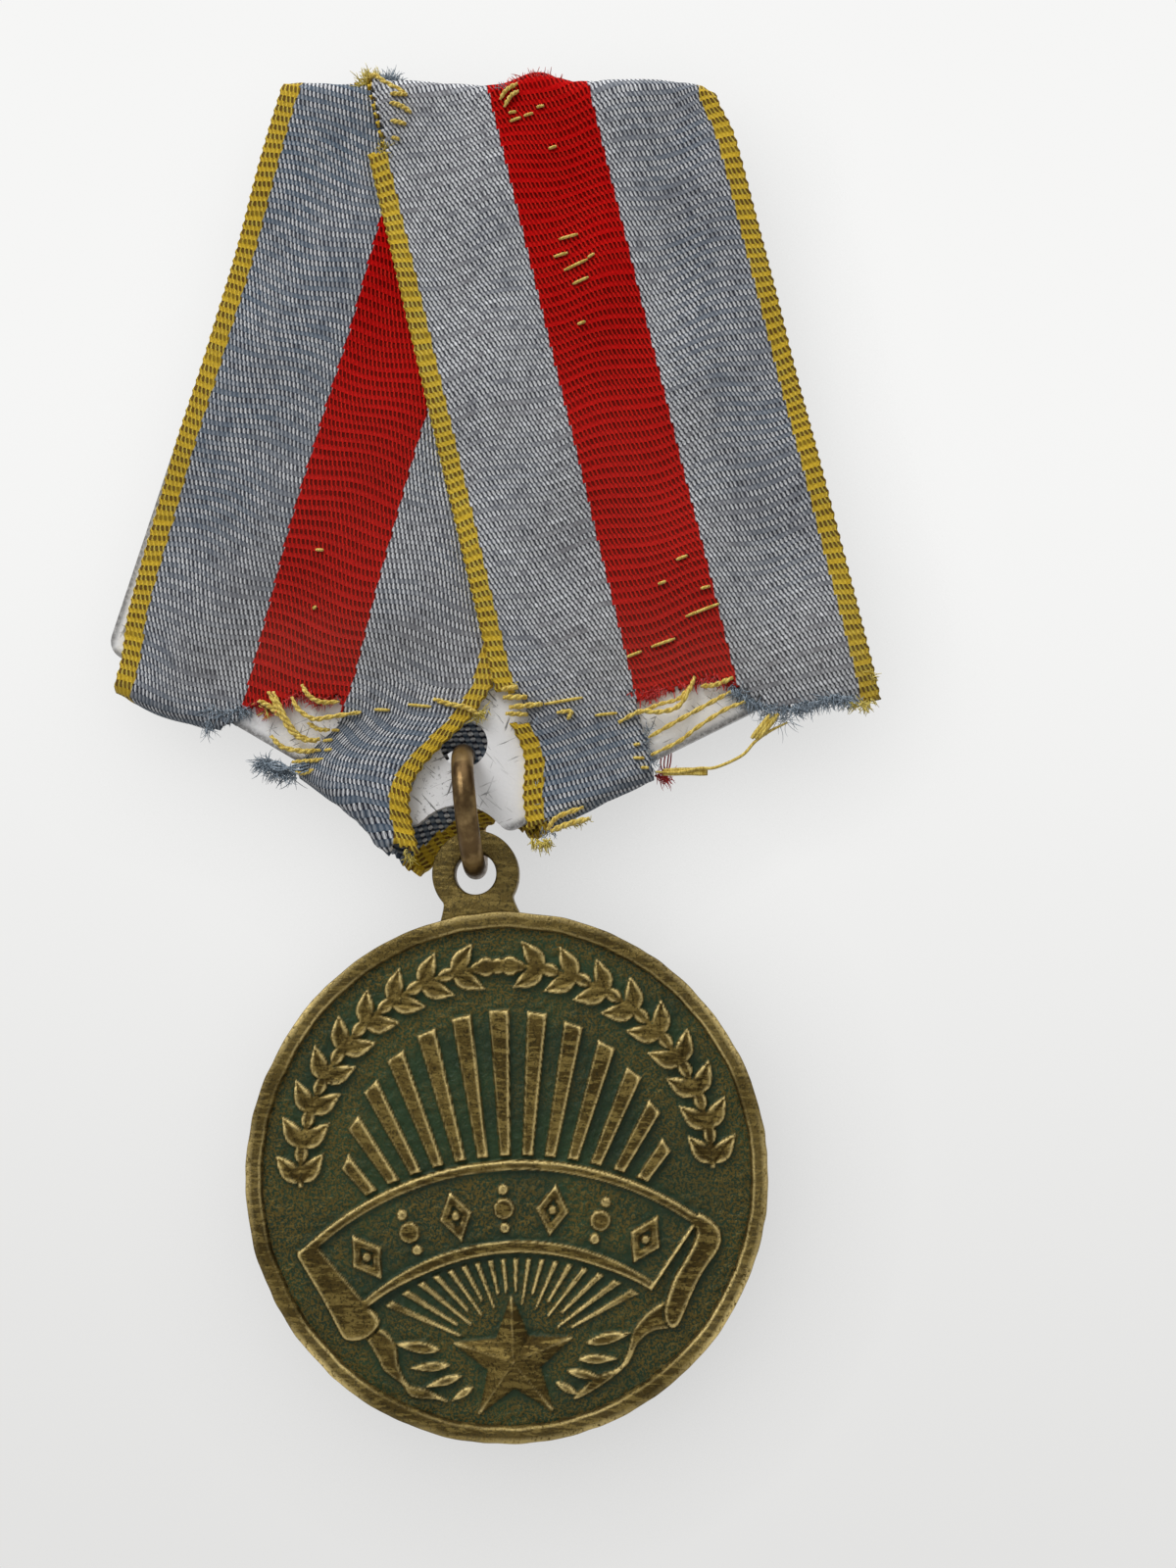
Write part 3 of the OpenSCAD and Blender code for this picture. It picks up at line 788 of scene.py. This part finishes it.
# Weft that glints through the worn warp: short runs that barely clear the cloth, by their two ends
GLINTS = ((-3.6, 9.4, -2.1, 9.3), (-5.7, 9.0, -4.7, 9.0), (5.0, 9.7, 7.4, 10.2), (8.2, 9.1, 9.6, 9.3),
          (1.2, 48.4, 1.7, 48.5), (1.3, 47.8, 2.0, 48.1), (2.2, 48.2, 2.8, 48.4), (3.0, 48.8, 3.5, 48.9),
          (4.8, 39.9, 6.0, 40.3), (4.5, 38.7, 5.4, 39.0), (5.2, 37.8, 6.7, 38.6), (5.8, 36.9, 6.8, 37.4),
          (6.7, 38.7, 7.1, 39.0), (13.0, 19.2, 13.7, 19.5), (13.7, 15.6, 15.8, 16.5),
          (11.6, 13.6, 13.1, 14.2), (10.1, 12.9, 11.0, 13.3), (14.6, 17.4, 15.2, 17.6),
          (11.9, 17.6, 12.4, 17.8), (3.9, 46.0, 4.4, 46.2), (6.2, 34.3, 6.7, 34.5),
          (-9.9, 19.1, -9.4, 19.1), (-9.9, 15.3, -9.7, 15.5), (-8.3, 7.6, -7.8, 7.6),
          (-8.8, 6.9, -8.2, 7.0), (-9.5, 6.3, -8.9, 6.3), (-8.7, 6.3, -8.2, 6.4), (-9.2, 5.7, -8.6, 5.8),
          (-9.7, 5.0, -9.1, 5.1), (-8.4, 5.7, -7.9, 5.7), (10.7, 6.5, 11.4, 6.5), (10.7, 7.3, 11.1, 7.4),
          (11.2, 5.9, 11.7, 5.9))
# One long end hangs off the right hole, and flattened stubs lie on it and at its foot
LONG_END = [(12.1, 5.7), (13.5, 5.7), (14.8, 6.0), (15.9, 6.1), (17.5, 6.9), (18.3, 7.8), (19.2, 8.5),
            (20.3, 9.1)]
PULLED_END = [(-8.2, 50.6), (-7.7, 50.8), (-6.9, 50.2), (-5.6, 49.5)]

# Fuzz: edge, then count, heading, spread, length, radius, depth and height of its hairs
YELLOW_FUZZ = (
    ([(-8.4, 50.1), (-8.2, 50.7), (-7.5, 50.9)], 90, 200, 60, (0.4, 0.9), 0.035, 0.5, 0.3),
    ([(-7.2, 45.7), (-6.6, 45.7), (-6.2, 45.0)], 60, 170, 50, (0.3, 0.8), 0.03),
    ([(24.3, 10.5), (24.9, 10.3), (25.5, 10.6)], 60, 10, 40, (0.3, 0.8), 0.035),
    ([(25.2, 12.6), (25.6, 12.0)], 25, 80, 40, (0.3, 0.6), 0.03),
    ([(0.1, 9.2), (0.8, 8.9), (1.2, 9.1)], 50, 30, 60, (0.3, 0.7), 0.035),
    ([(4.6, 1.1), (5.1, 1.0), (5.7, 1.1)], 70, 12, 35, (0.3, 0.7), 0.04),
    ([(-3.2, 0.0), (-2.8, -0.3)], 30, -20, 25, (0.2, 0.5), 0.03),
    ([(6.5, 2.1), (8.0, 2.5)], 40, 60, 60, (0.2, 0.5), 0.03),
    ([(-12.9, 9.2), (-12.2, 8.6)], 35, -10, 50, (0.3, 0.7), 0.035),
    ([(2.3, 11.0), (3.0, 10.9)], 30, 10, 50, (0.3, 0.6), 0.035))
RED_TOP = [(0.8, 49.9), (1.8, 50.6), (3.0, 50.9), (4.2, 50.5), (5.4, 49.9)]
RED_FUZZ = (
    ([(-13.3, 9.3), (-12.3, 8.7), (-11.0, 9.6), (-10.0, 10.0), (-9.3, 9.5), (-8.0, 9.8)], 230, 0, 38,
     (0.25, 0.75), 0.035),
    ([(10.5, 10.6), (11.6, 10.6), (12.2, 11.0), (14.2, 11.5), (15.4, 11.9), (16.4, 11.6)], 230, 0, 38,
     (0.25, 0.75), 0.035),
    *((RED_TOP, 110, 180, 40, (0.3, 0.8), 0.035, 0.3, height) for height in (-0.3, 0.1, 0.5)),
    ([(12.2, 5.6), (12.9, 5.5)], 60, 60, 60, (0.3, 0.8), 0.03, 0.1, -1.0))
BLUE_FUZZ = (
    ([(-16.4, 8.8), (-15.2, 8.6), (-13.6, 8.9)], 320, -15, 50, (0.4, 1.1), 0.03, 0.5),
    ([(-16.1, 8.2), (-16.2, 7.4)], 50, 0, 40, (0.4, 1.0), 0.02, 0.4),
    ([(-12.6, 5.5), (-11.6, 5.2), (-10.6, 4.7)], 330, -60, 40, (0.4, 1.2), 0.03, 0.3, 0.1),
    ([(16.8, 11.3), (18.0, 10.4), (20.0, 10.1), (21.5, 10.3), (23.0, 10.8), (24.2, 10.7)], 620, 5, 38,
     (0.3, 1.0), 0.03),
    ([(18.6, 9.6), (19.6, 9.3), (20.4, 9.4)], 50, 60, 90, (0.6, 1.5), 0.018, 0.3),
    ([(-7.3, 50.2), (-6.7, 50.8), (-6.2, 50.4)], 150, 180, 50, (0.3, 0.8), 0.03, 0.6, 0.2),
    ([(0.2, 49.8), (1.0, 50.2)], 60, 200, 50, (0.2, 0.6), 0.025, 0.5, 0.5),
    ([(11.5, 8.6), (11.4, 7.2), (12.0, 6.0)], 90, 70, 50, (0.2, 0.5), 0.025),
    ([(-9.3, 6.3), (-9.9, 5.4), (-10.5, 4.8)], 90, -70, 50, (0.2, 0.5), 0.025),
    ([(4.6, 8.9), (4.4, 8.2), (5.2, 1.9), (6.0, 2.0)], 60, 0, 60, (0.3, 0.6), 0.025))


def worn_threads():
    """Loose weft and fuzz, one piece of each colour."""
    strands = []
    for radius, bow, points in LOOSE_WEFT:
        strands += two_ply(*thread(points, radius, bow))
    for x0, z0, x1, z1 in GLINTS:
        strands.append(thread([(x0, z0), (x1, z1)], 0.1, 0.03, steps=3))
    strands.append(thread(LONG_END, 0.1, 0.1, (0.2, 0.2)))
    for shift in (-0.22, 0, 0.22):
        stub = [(18.3 + shift, 8.0), (18.9 + shift, 8.8), (19.5 + shift, 9.6)]
        foot = [(12.6, 5.7 + 0.6 * shift), (14.1, 5.8 + 0.6 * shift), (15.4, 5.8 + 0.6 * shift)]
        strands.append(thread(stub, 0.17, 0.05, (0.35, 0.35)))
        strands.append(thread(foot, 0.12, 0.02, (0.1, 0.1)))
    strands += two_ply(*thread(PULLED_END, 0.15, 0.1, (0.1, 0.9)))

    rng = np.random.default_rng(11)
    yellow, red, blue = ([hair for row in rows for hair in hairs(rng, *row)]
                         for rows in (YELLOW_FUZZ, RED_FUZZ, BLUE_FUZZ))
    # what ties the loose clumps to the cloth and to the plate's edge
    for shift in (-0.3, -0.1, 0.1, 0.25):
        tie = [(-12.7, 5.4 + shift), (-11.6, 5.2 - shift), (-10.4, 5.1 + shift), (-9.6, 5.3 + shift)]
        blue.append(thread(tie, 0.07, 0.1, (0.1, 0.5)))
        tie = [(12.9 + shift, 7.3), (12.8 + shift, 6.2), (12.9 - shift, 5.1)]
        red.append(thread(tie, 0.05, 0.0, (-1.3, -1.0)))
    for name, paths, sides, dark, light in (
            ("frayed_weft", strands, 8, (0.52, 0.34, 0.03), (0.88, 0.68, 0.16)),
            ("yellow_fuzz", yellow, 4, (0.52, 0.40, 0.04), (0.80, 0.66, 0.14)),
            ("red_fuzz", red, 4, (0.40, 0.002, 0.002), (0.72, 0.02, 0.012)),
            ("blue_fuzz", blue, 4, (0.10, 0.14, 0.18), (0.36, 0.43, 0.50))):
        piece = sewn(tubes(name, paths, sides))
        piece.data.materials.append(thread_material(name, dark, light))


# ---- struck disc

def grid(radius, cell):
    n = int(math.ceil(radius / cell)) + 4
    line = np.arange(-n, n + 1) * cell
    return np.meshgrid(line, line, indexing="ij")


def turned(x, y, angle, at=(0, 0)):
    """Coordinates of places seen from axes turned by angle about a point."""
    dx, dy = x - at[0], y - at[1]
    return dx * math.cos(angle) + dy * math.sin(angle), dy * math.cos(angle) - dx * math.sin(angle)


def raised(distance, soft=0.11):
    """1 well inside a shape, 0 outside, with a sloped edge; distance is negative inside."""
    return smooth(0.65 * soft, -0.65 * soft, distance)


def leaf(across, out, start, end, half, fullness):
    """Distance outside a pointed leaf that runs from start to end; less fullness is wider near its foot."""
    t = np.clip((out - start) / (end - start), 0.001, 0.999)
    width = half * np.sin(math.pi * t ** fullness)
    return most(np.abs(across) - width, start - out, out - end)


STAR_AT = (-0.05, -11.1)
STAR_R, STAR_NOTCH_R = 3.95, 1.7
BANNER_AT = (0.0, -18.5)
BANNER_R, BANNER_IN_R = 19.3, 13.75
PANEL_H = 0.12
# Where the long rays end and the laurel stem runs, about the disc's centre
RAYS_R, LAUREL_R = 9.95, 12.65
# The banner's folded ends and its wavy tails, in the design's own axes
LEFT_FOLD = [(-13.0, -4.1), (-12.5, -5.2), (-11.6, -6.8), (-10.9, -8.2), (-10.4, -9.2), (-9.9, -9.5),
             (-9.0, -9.4), (-8.3, -8.9), (-8.1, -8.3), (-8.7, -7.6), (-9.5, -7.2), (-9.9, -6.6),
             (-10.6, -5.7), (-11.8, -3.8), (-12.2, -3.6)]
LEFT_TAIL = [(-9.0, -9.3), (-8.3, -8.8), (-7.5, -9.3), (-7.1, -10.2), (-7.0, -11.2), (-6.4, -12.3),
             (-5.3, -12.6), (-4.1, -13.4), (-4.9, -13.2), (-6.3, -13.0), (-6.9, -12.2), (-7.9, -11.4),
             (-8.3, -10.6)]
RIGHT_FOLD = [(11.6, -2.9), (12.5, -3.5), (12.9, -4.2), (12.7, -5.1), (11.7, -6.4), (11.0, -7.6),
              (10.5, -8.6), (10.0, -9.5), (9.5, -9.6), (9.2, -9.0), (9.3, -8.2), (9.9, -6.7), (10.7, -5.5),
              (11.4, -4.2), (11.2, -3.2)]
RIGHT_TAIL = [(9.6, -8.1), (8.4, -8.5), (7.3, -9.6), (6.9, -10.8), (6.3, -11.8), (4.9, -12.3), (3.5, -13.4),
              (3.9, -13.5), (5.6, -12.6), (6.9, -11.6), (7.5, -10.5), (8.4, -9.8), (9.8, -9.5)]


def outline_distance(points, x, y):
    """Signed distance to a closed outline, negative inside."""
    best = np.full(x.shape, 99.0)
    for (x0, y0), (x1, y1) in zip(points, points[1:] + points[:1]):
        ex, ey = x1 - x0, y1 - y0
        t = np.clip(((x - x0) * ex + (y - y0) * ey) / (ex * ex + ey * ey), 0, 1)
        best = np.minimum(best, np.hypot(x - x0 - t * ex, y - y0 - t * ey))
    return np.where(inside(points, np.stack([x, y], -1)), -best, best)


def rounded_outline(points):
    """The outline with its corners drawn as a smooth curve."""
    loop = spline(points[-2:] + points + points[:2], (len(points) + 3) * 6 + 1)
    return [tuple(p) for p in loop[12:-12:2]]


def star_depth(x, y, tip_r, notch_r):
    """Distance inside a five-pointed star, negative outside."""
    a = (np.arctan2(x, y) + math.pi / 5) % (2 * math.pi / 5) - math.pi / 5
    r = np.hypot(x, y)
    px, py = r * np.abs(np.sin(a)), r * np.cos(a)
    ex, ey = notch_r * math.sin(math.pi / 5), notch_r * math.cos(math.pi / 5) - tip_r
    return (px * ey - (py - tip_r) * ex) / math.hypot(ex, ey)


def long_rays(x, y, r):
    """Thirteen bars that fan out from the star to an arc; r is the distance from the banner's centre."""
    h = np.zeros(x.shape)
    for i in range(13):
        angle = math.radians((i - 6) * 6.45)
        ux, uy = math.sin(angle), math.cos(angle)
        dot = STAR_AT[0] * ux + STAR_AT[1] * uy
        reach = -dot + math.sqrt(dot ** 2 - STAR_AT[0] ** 2 - STAR_AT[1] ** 2 + RAYS_R ** 2)
        ex, ey = STAR_AT[0] + reach * ux, STAR_AT[1] + reach * uy
        nx, ny = ux + ex / RAYS_R, uy + ey / RAYS_R
        cut = ((x - ex) * nx + (y - ey) * ny) / math.hypot(nx, ny)
        across, out = turned(x, y, -angle, STAR_AT)
        half = 0.33 + 0.27 * np.clip((out - 12.5) / 8.0, 0, 1)
        shape = most(np.abs(across) - half, cut, BANNER_R + 0.3 - r)
        top = 0.30 + 0.05 * np.clip(across / half, -1, 1)
        h = np.maximum(h, top * raised(np.where(out > 0, shape, 9)))
    return h


def short_rays(x, y, r):
    """Eighteen thin rays between the star and the banner."""
    h = np.zeros(x.shape)
    for i in range(18):
        across, out = turned(x, y, -math.radians((i - 8.5) * 7.5), STAR_AT)
        half = 0.05 + 0.17 * np.clip((out - 3.0) / 5.0, 0, 1.2)
        shape = most(np.abs(across) - half, 3.3 + 0.7 * (i % 2) - out, r - BANNER_IN_R + 0.35)
        h = np.maximum(h, 0.20 * raised(shape, 0.1))
    return h


def star_leaves(x, y):
    """Four slim leaves at each side of the star."""
    h = np.zeros(x.shape)
    for way in (-1, 1):
        for degrees, r_in, r_out, half in ((80, 4.5, 7.3, 0.34), (92, 3.9, 6.3, 0.28),
                                           (104, 3.3, 5.6, 0.27), (120, 2.9, 4.5, 0.24)):
            across, out = turned(x, y, -way * math.radians(degrees), STAR_AT)
            h = np.maximum(h, 0.26 * raised(leaf(across, out, r_in, r_out, half, 0.8), 0.1))
    return h


def banner_marks(x, y):
    """Lozenges and trios of dots in turn along the banner, about the banner's centre."""
    marks = np.zeros(x.shape)
    for i in range(7):
        mx, my = turned(x, y, -math.radians((i - 3) * 10.4 - 0.9))
        my = my - (BANNER_R + BANNER_IN_R) / 2 + 0.1
        if i % 2:
            d = np.minimum(np.hypot(mx, my) - 0.62, np.hypot(mx, np.abs(my) - 1.15) - 0.3)
        else:
            lozenge = (np.abs(mx) + np.abs(my) / 1.55 - 1) * 0.8
            d = np.minimum(np.maximum(lozenge, -lozenge - 0.42), np.hypot(mx, my) - 0.26)
        marks = np.maximum(marks, raised(d, 0.1))
    return marks


def face_relief(x, y):
    """Height of the struck face above its field, but for the laurel."""
    px, py = x - BANNER_AT[0], y - BANNER_AT[1]
    r = np.hypot(px, py)
    a = np.degrees(np.arctan2(px, py))
    inner_edge = BANNER_IN_R + 0.25 * smooth(20, 40, np.abs(a))
    band = most(r - BANNER_R, inner_edge - r, (np.abs(a + 2.1) - 39.5) * 0.3)
    panel = most(r - BANNER_R + 0.6, BANNER_IN_R + 0.75 - r, (np.abs(a + 0.9) - 37.6) * 0.3)

    h = most(long_rays(x, y, r), short_rays(x, y, r), star_leaves(x, y))
    for points in (LEFT_TAIL, RIGHT_TAIL):
        d = outline_distance(rounded_outline(points), x, y)
        h = np.maximum(h, 0.24 * raised(d, 0.12) - 0.10 * raised(d + 0.36, 0.25))
    star = star_depth(x - STAR_AT[0], y - STAR_AT[1], STAR_R, STAR_NOTCH_R)
    h *= smooth(0.2, 0.35, -star)
    h = np.where(star > -0.03, np.maximum(0.14 * smooth(-0.03, 0.05, star) + 0.5 * np.clip(star, 0, 2), h), h)
    for points in (LEFT_FOLD, RIGHT_FOLD):
        d = outline_distance(rounded_outline(points), x, y)
        h = np.where(d < 0.1, np.maximum(0.36 * raised(d, 0.14) - 0.09 * raised(d + 0.42, 0.3), 0), h)
    frame_line = 0.36 * raised(band, 0.12) - 0.24 * raised(panel, 0.12)
    h = np.where(band < 0.12, np.maximum(frame_line, np.where(panel < 0, 0, h)), h)
    return np.where(panel < 0, PANEL_H + 0.24 * banner_marks(px, py), h)


def laurel(x, y):
    """Two plain laurel sprays along the upper edge of the field."""
    r = np.hypot(x, y)
    a = np.degrees(np.arctan2(x, y))
    stem = most(np.abs(r - LAUREL_R) - 0.14, (np.abs(a) - 91) * 0.2, (4.0 - np.abs(a)) * 0.2)
    h = 0.24 * raised(stem, 0.09)
    for side in (-1, 1):
        for i in range(9):
            for way, length, half, back in ((-1, 2.25, 0.56, 0), (0, 1.7, 0.4, 4.8), (1, 2.25, 0.56, 0)):
                degrees = 90 - i * 9.6 - back
                if degrees < 6:
                    continue
                mid = math.radians(side * degrees)
                tilt = mid - math.radians(90 * side + 40 * way)
                across, out = turned(x, y, -tilt, (LAUREL_R * math.sin(mid), LAUREL_R * math.cos(mid)))
                along = np.clip((out - 0.1) / (length - 0.1), 0.001, 0.999)
                vein = 1 - 0.5 * bump(across, 0, 0.1) * (along < 0.9)
                h = np.maximum(h, 0.31 * raised(leaf(across, out, 0.1, length, half, 0.75), 0.1) * vein)
    bow = np.minimum(np.hypot(np.abs(x) - 0.75, y - LAUREL_R) - 0.6, np.hypot(x, y - LAUREL_R) - 0.5)
    return np.maximum(h, 0.33 * raised(bow, 0.14))


def whole_face(x, y):
    return np.maximum(face_relief(x, y), laurel(x, y))


def reverse_relief(x, y):
    """A plain reverse: a small star inside a thin ring."""
    ring = 0.22 * raised(np.abs(np.hypot(x, y) - 12.4) - 0.16, 0.12)
    return np.maximum(ring, 0.45 * np.clip(star_depth(x, y, 6.0, 2.2) / 1.6, 0, 1))


def height_solid(height, base, x, y, keep_r):
    """Closed solid under a height field, out to keep_r; returns points, faces and the mask of used points."""
    keep = np.hypot((x[1:, 1:] + x[:-1, :-1]) / 2, (y[1:, 1:] + y[:-1, :-1]) / 2) < keep_r
    count = x.size
    corners = cell_corners(x.shape)
    walls, following = [], {}
    for i, j in borders(keep, corners):
        walls += list(np.stack([j, i, i + count, j + count], -1))
        following.update(zip(i.tolist(), j.tolist()))
    loop = [next(iter(following))]
    while following[loop[-1]] != loop[0]:
        loop.append(following[loop[-1]])
    top = np.stack([x, y, height], -1).reshape(-1, 3)
    bottom = np.stack([x, y, np.full(x.shape, base)], -1).reshape(-1, 3)
    quads = np.stack(corners, -1)[keep]
    faces, used = without_unused([*quads, *walls, np.array(loop[::-1]) + count], 2 * count)
    return np.concatenate([top, bottom])[used], faces, used


def lathe(rings, count):
    """Closed ring through loops of (radius, height), where a radius is a number or one for each angle."""
    angle = np.arange(count) * 2 * math.pi / count
    loops = [np.stack([r * np.cos(angle), r * np.sin(angle), np.full(count, z)], -1) for r, z in rings]
    return np.vstack(loops), skin([(i, (i + 1) % len(rings)) for i in range(len(rings))], count)


def rim_profile():
    """Cross-section of the raised rim, from the field round the outside to the back, with rounded corners."""
    top = DISC_T / 2
    front = [(RIM_IN_R - 0.12, top - FIELD_DEPTH - 0.1), (RIM_IN_R - 0.02, top - 0.12),
             (RIM_IN_R + 0.08, top - 0.03), (RIM_IN_R + 0.2, top), (DISC_R - 0.42, top)]
    corner = [(DISC_R - SOFT_R + SOFT_R * math.sin(t), top - SOFT_R + SOFT_R * math.cos(t))
              for t in np.linspace(0, math.pi / 2, 5)]
    half = front + corner
    return half + [(r, -z) for r, z in half[::-1]]


def lug():
    """The ring lug and its neck, which flares into the rim, with rounded edges, in the disc's own axes."""
    count = 120
    outer = np.full(count, LUG_R)
    for k in range(count):
        angle = k * 2 * math.pi / count
        down, side = -math.sin(angle), abs(math.cos(angle))
        if down > 0.3:
            neck = NECK_W / 2 / max(side, 1e-6)
            flare = neck + 0.8 * max(0.0, neck * down - 1.6) ** 2
            outer[k] = max(LUG_R, min((LUG_H - LUG_FOOT_R) / down, flare))
    h, low, bevel = LUG_T / 2, LUG_T / 2 - SOFT_R, 0.3 * SOFT_R
    rings = [(LUG_HOLE_R, -low), (LUG_HOLE_R, low), (LUG_HOLE_R + bevel, h - bevel), (LUG_HOLE_R + SOFT_R, h),
             (outer - SOFT_R, h), (outer - bevel, h - bevel), (outer, low), (outer, -low),
             (outer - bevel, bevel - h), (outer - SOFT_R, -h), (LUG_HOLE_R + SOFT_R, -h),
             (LUG_HOLE_R + bevel, bevel - h)]
    points, faces = lathe(rings, count)
    return points + [0, LUG_H, 0], faces


def struck_disc():
    """Face, reverse, rim and lug as one piece; relief, edge and wear say how each place is coloured."""
    points, faces, relief, edge, wear = [], [], [], [], []

    def add(p, f, values):
        total = sum(len(q) for q in points)
        points.append(p)
        faces.extend(face + total for face in f)
        for store, value in zip((relief, edge, wear), values):
            store.append(np.broadcast_to(value, len(p)))

    for cell, design, flip in ((CELL, whole_face, [1, 1, 1]), (BACK_CELL, reverse_relief, [-1, 1, -1])):
        x, y = grid(RIM_IN_R + 0.3, cell)
        h = design(*turned(x, y, DESIGN_TURN))
        stipple = noise_map(5, x.shape, cell, 0.12)
        rolling = noise_map(6, x.shape, cell, 0.9)
        up = np.where(np.abs(h - PANEL_H) < 0.01, 0.0, smooth(0.02, 0.11, h))
        h = h + 0.028 * np.clip(stipple, -1, 2) * (1 - 0.8 * up) + 0.015 * rolling
        # convex edges, which the material turns bright: partly real wear, partly a painted highlight
        convex_wear_and_highlight = smooth(0.045, 0.13, h - blurred(h, cell, 0.2)) * smooth(0.08, 0.2, h)
        worn = np.clip(smooth(0.5, 0.06, blurred(up, cell, 0.5)) + 0.18 * rolling, 0, 1)
        p, f, used = height_solid(DISC_T / 2 - FIELD_DEPTH + h, -0.1, x, y, RIM_IN_R + 0.25)
        add(p * flip, f, [np.tile(m.ravel(), 2)[used] for m in (up, convex_wear_and_highlight, worn)])

    count = 360
    dents = 0.02 * noise_map(8, (count, 4), 1.0, 1.2)[:, 0]
    # brightness of the rim's corners round the disc: partly wear, partly a painted highlight
    rim_wear_and_highlight = np.clip(0.36 + 0.3 * noise_map(9, (count, 4), 1.0, 6.0)[:, 0], 0.1, 1.0)
    profile = rim_profile()
    corner = [1.0 if abs(abs(z) - DISC_T / 2) < 0.06 and (r < RIM_IN_R + 0.15 or r > DISC_R - 0.2) else 0.1
              for r, z in profile]
    add(*lathe([(r + dents, z) for r, z in profile], count), (1.0, np.outer(corner, rim_wear_and_highlight).ravel(), 1.0))
    add(*lug(), (1.0, 0.05, 1.0))

    x, z, out = np.vstack(points).T
    across, up = turned(x, z, -SWING)
    placed = np.stack([DISC_X + across, PLATE_MID - out, DISC_Z + up], -1)
    looks = {"relief": np.concatenate(relief), "edge": np.concatenate(edge), "wear": np.concatenate(wear)}
    piece = make_mesh("struck_disc", to_frame(placed), faces, attributes=looks)
    piece.data.materials.append(disc_material())
    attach(piece, "disc")
    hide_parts("medal_disc")


# ---- stage, light and camera

def stage():
    """Far backdrop and floor that glow, with painted light that dims lower down, and a clear sheet close
    behind that only shows a painted soft contact shadow.
    """
    g = Graph("glowing_backdrop")
    height = g.parts(g.place())[2]
    # painted light: the backdrop and floor glow, dimmer towards the bottom as if the light fell off there
    glow_dimmer_below = g.mix(g.mapped(height, -0.15, 0.06), (0.735, 0.733, 0.725), (0.885, 0.885, 0.878))
    g.set(Base_Color=(0.0, 0.0, 0.0), Specular_IOR_Level=0.0, Emission_Color=glow_dimmer_below, Emission_Strength=1.0)
    far, size, low = 0.16, 0.9, -0.17
    for name, points in (
            ("backdrop", [(-size, far, -size), (size, far, -size), (size, far, size), (-size, far, size)]),
            ("floor", [(-size, -size, low), (size, -size, low), (size, far, low), (-size, far, low)])):
        piece = make_mesh(name, points, [[0, 1, 2, 3]])
        piece.data.materials.append(g.material)
        piece.visible_diffuse = piece.visible_shadow = False

    g = Graph("contact_shadow")
    g.tree.nodes.remove(g.shader)
    towards_key = g.joined(-0.36, -0.86, 0.36)
    reach = {"Distance": SHADOW_REACH, "Normal": towards_key}
    open_share = g.node("AmbientOcclusion", reach, "AO", samples=8)
    back = g.node("NewGeometry", {}, "Backfacing")
    tint = g.math("MAXIMUM", open_share * 0.44 + 0.6, back)
    clear = g.node("BsdfTransparent", {"Color": tint})
    g.put(g.tree.nodes["Material Output"].inputs["Surface"], clear)
    y = cad_high.y + 0.0006
    piece = make_mesh("shadow_sheet", [(-0.08, y, -0.1), (0.08, y, -0.1), (0.08, y, 0.05), (-0.08, y, 0.05)],
                      [[0, 1, 2, 3]])
    piece.data.materials.append(g.material)
    piece.visible_shadow = piece.visible_diffuse = piece.visible_glossy = False


def light(name, place, aim, size, power):
    lamp = bpy.data.lights.new(name, "AREA")
    lamp.size = size
    lamp.energy = power
    item = bpy.data.objects.new(name, lamp)
    item.location = place
    item.rotation_euler = (Vector(aim) - Vector(place)).to_track_quat("-Z", "Y").to_euler()
    bpy.context.scene.collection.objects.link(item)


def lights():
    world = bpy.data.worlds.new("studio")
    world.use_nodes = True
    colour, strength = world.node_tree.nodes["Background"].inputs[:2]
    colour.default_value = (1.0, 1.0, 1.0, 1)
    strength.default_value = 0.33
    bpy.context.scene.world = world
    light("key", (-0.32, -0.34, 0.42), (0, 0.05, -0.03), 0.30, 2.3)
    light("sky", (0.1, -0.12, 0.6), (0, 0.05, -0.05), 0.5, 1.8)


def camera():
    """A near camera in front of the disc's top, turned a little up, right and round."""
    data = bpy.data.cameras.new("camera")
    data.sensor_fit = "VERTICAL"
    data.sensor_height = 24
    data.lens = 27
    data.clip_start = 0.01
    item = bpy.data.objects.new("camera", data)
    place = Matrix.Translation(to_frame([9.27, PLATE_FRONT - 110.26, -6.49]))
    for degrees, axis in ((90, "X"), (2.05, "Z"), (0.49, "Y"), (5.87, "X")):
        place = place @ Matrix.Rotation(math.radians(degrees), 4, axis)
    item.matrix_world = place
    bpy.context.scene.collection.objects.link(item)
    bpy.context.scene.camera = item


def ribbon():
    weave = ribbon_material()
    for piece in (ribbon_half("ribbon_left_half", LEFT, left_shape, kept_left, blue_left, 1),
                  ribbon_half("ribbon_right_half", RIGHT, right_shape, kept_right, blue_right, 2)):
        piece.data.materials.append(weave)


def cad_finishes():
    """Gives the CAD nodes that are shown as they are their looks."""
    steel = steel_material("dull_steel", (0.5, 0.5, 0.49), 0.35)
    plate = plate_material()
    for node, material in (
            ("backing_plate", plate), ("bracket_rivets", plate), ("catch_rivets", plate),
            ("hinge_bracket", steel), ("hinge_axle", steel), ("pin_catch", steel),
            ("brooch_pin", steel_material("drawn_wire", (0.62, 0.62, 0.62), 0.25)),
            ("jump_ring", ring_material()),
            ("stitching", thread_material("sewing_thread", (0.10, 0.10, 0.11), (0.30, 0.30, 0.31)))):
        slots = frame["nodes"][node].data.materials
        slots.clear()
        slots.append(material)


camera()
lights()
stage()
ribbon()
worn_threads()
struck_disc()
cad_finishes()

bpy.context.scene.view_settings.view_transform = "Standard"
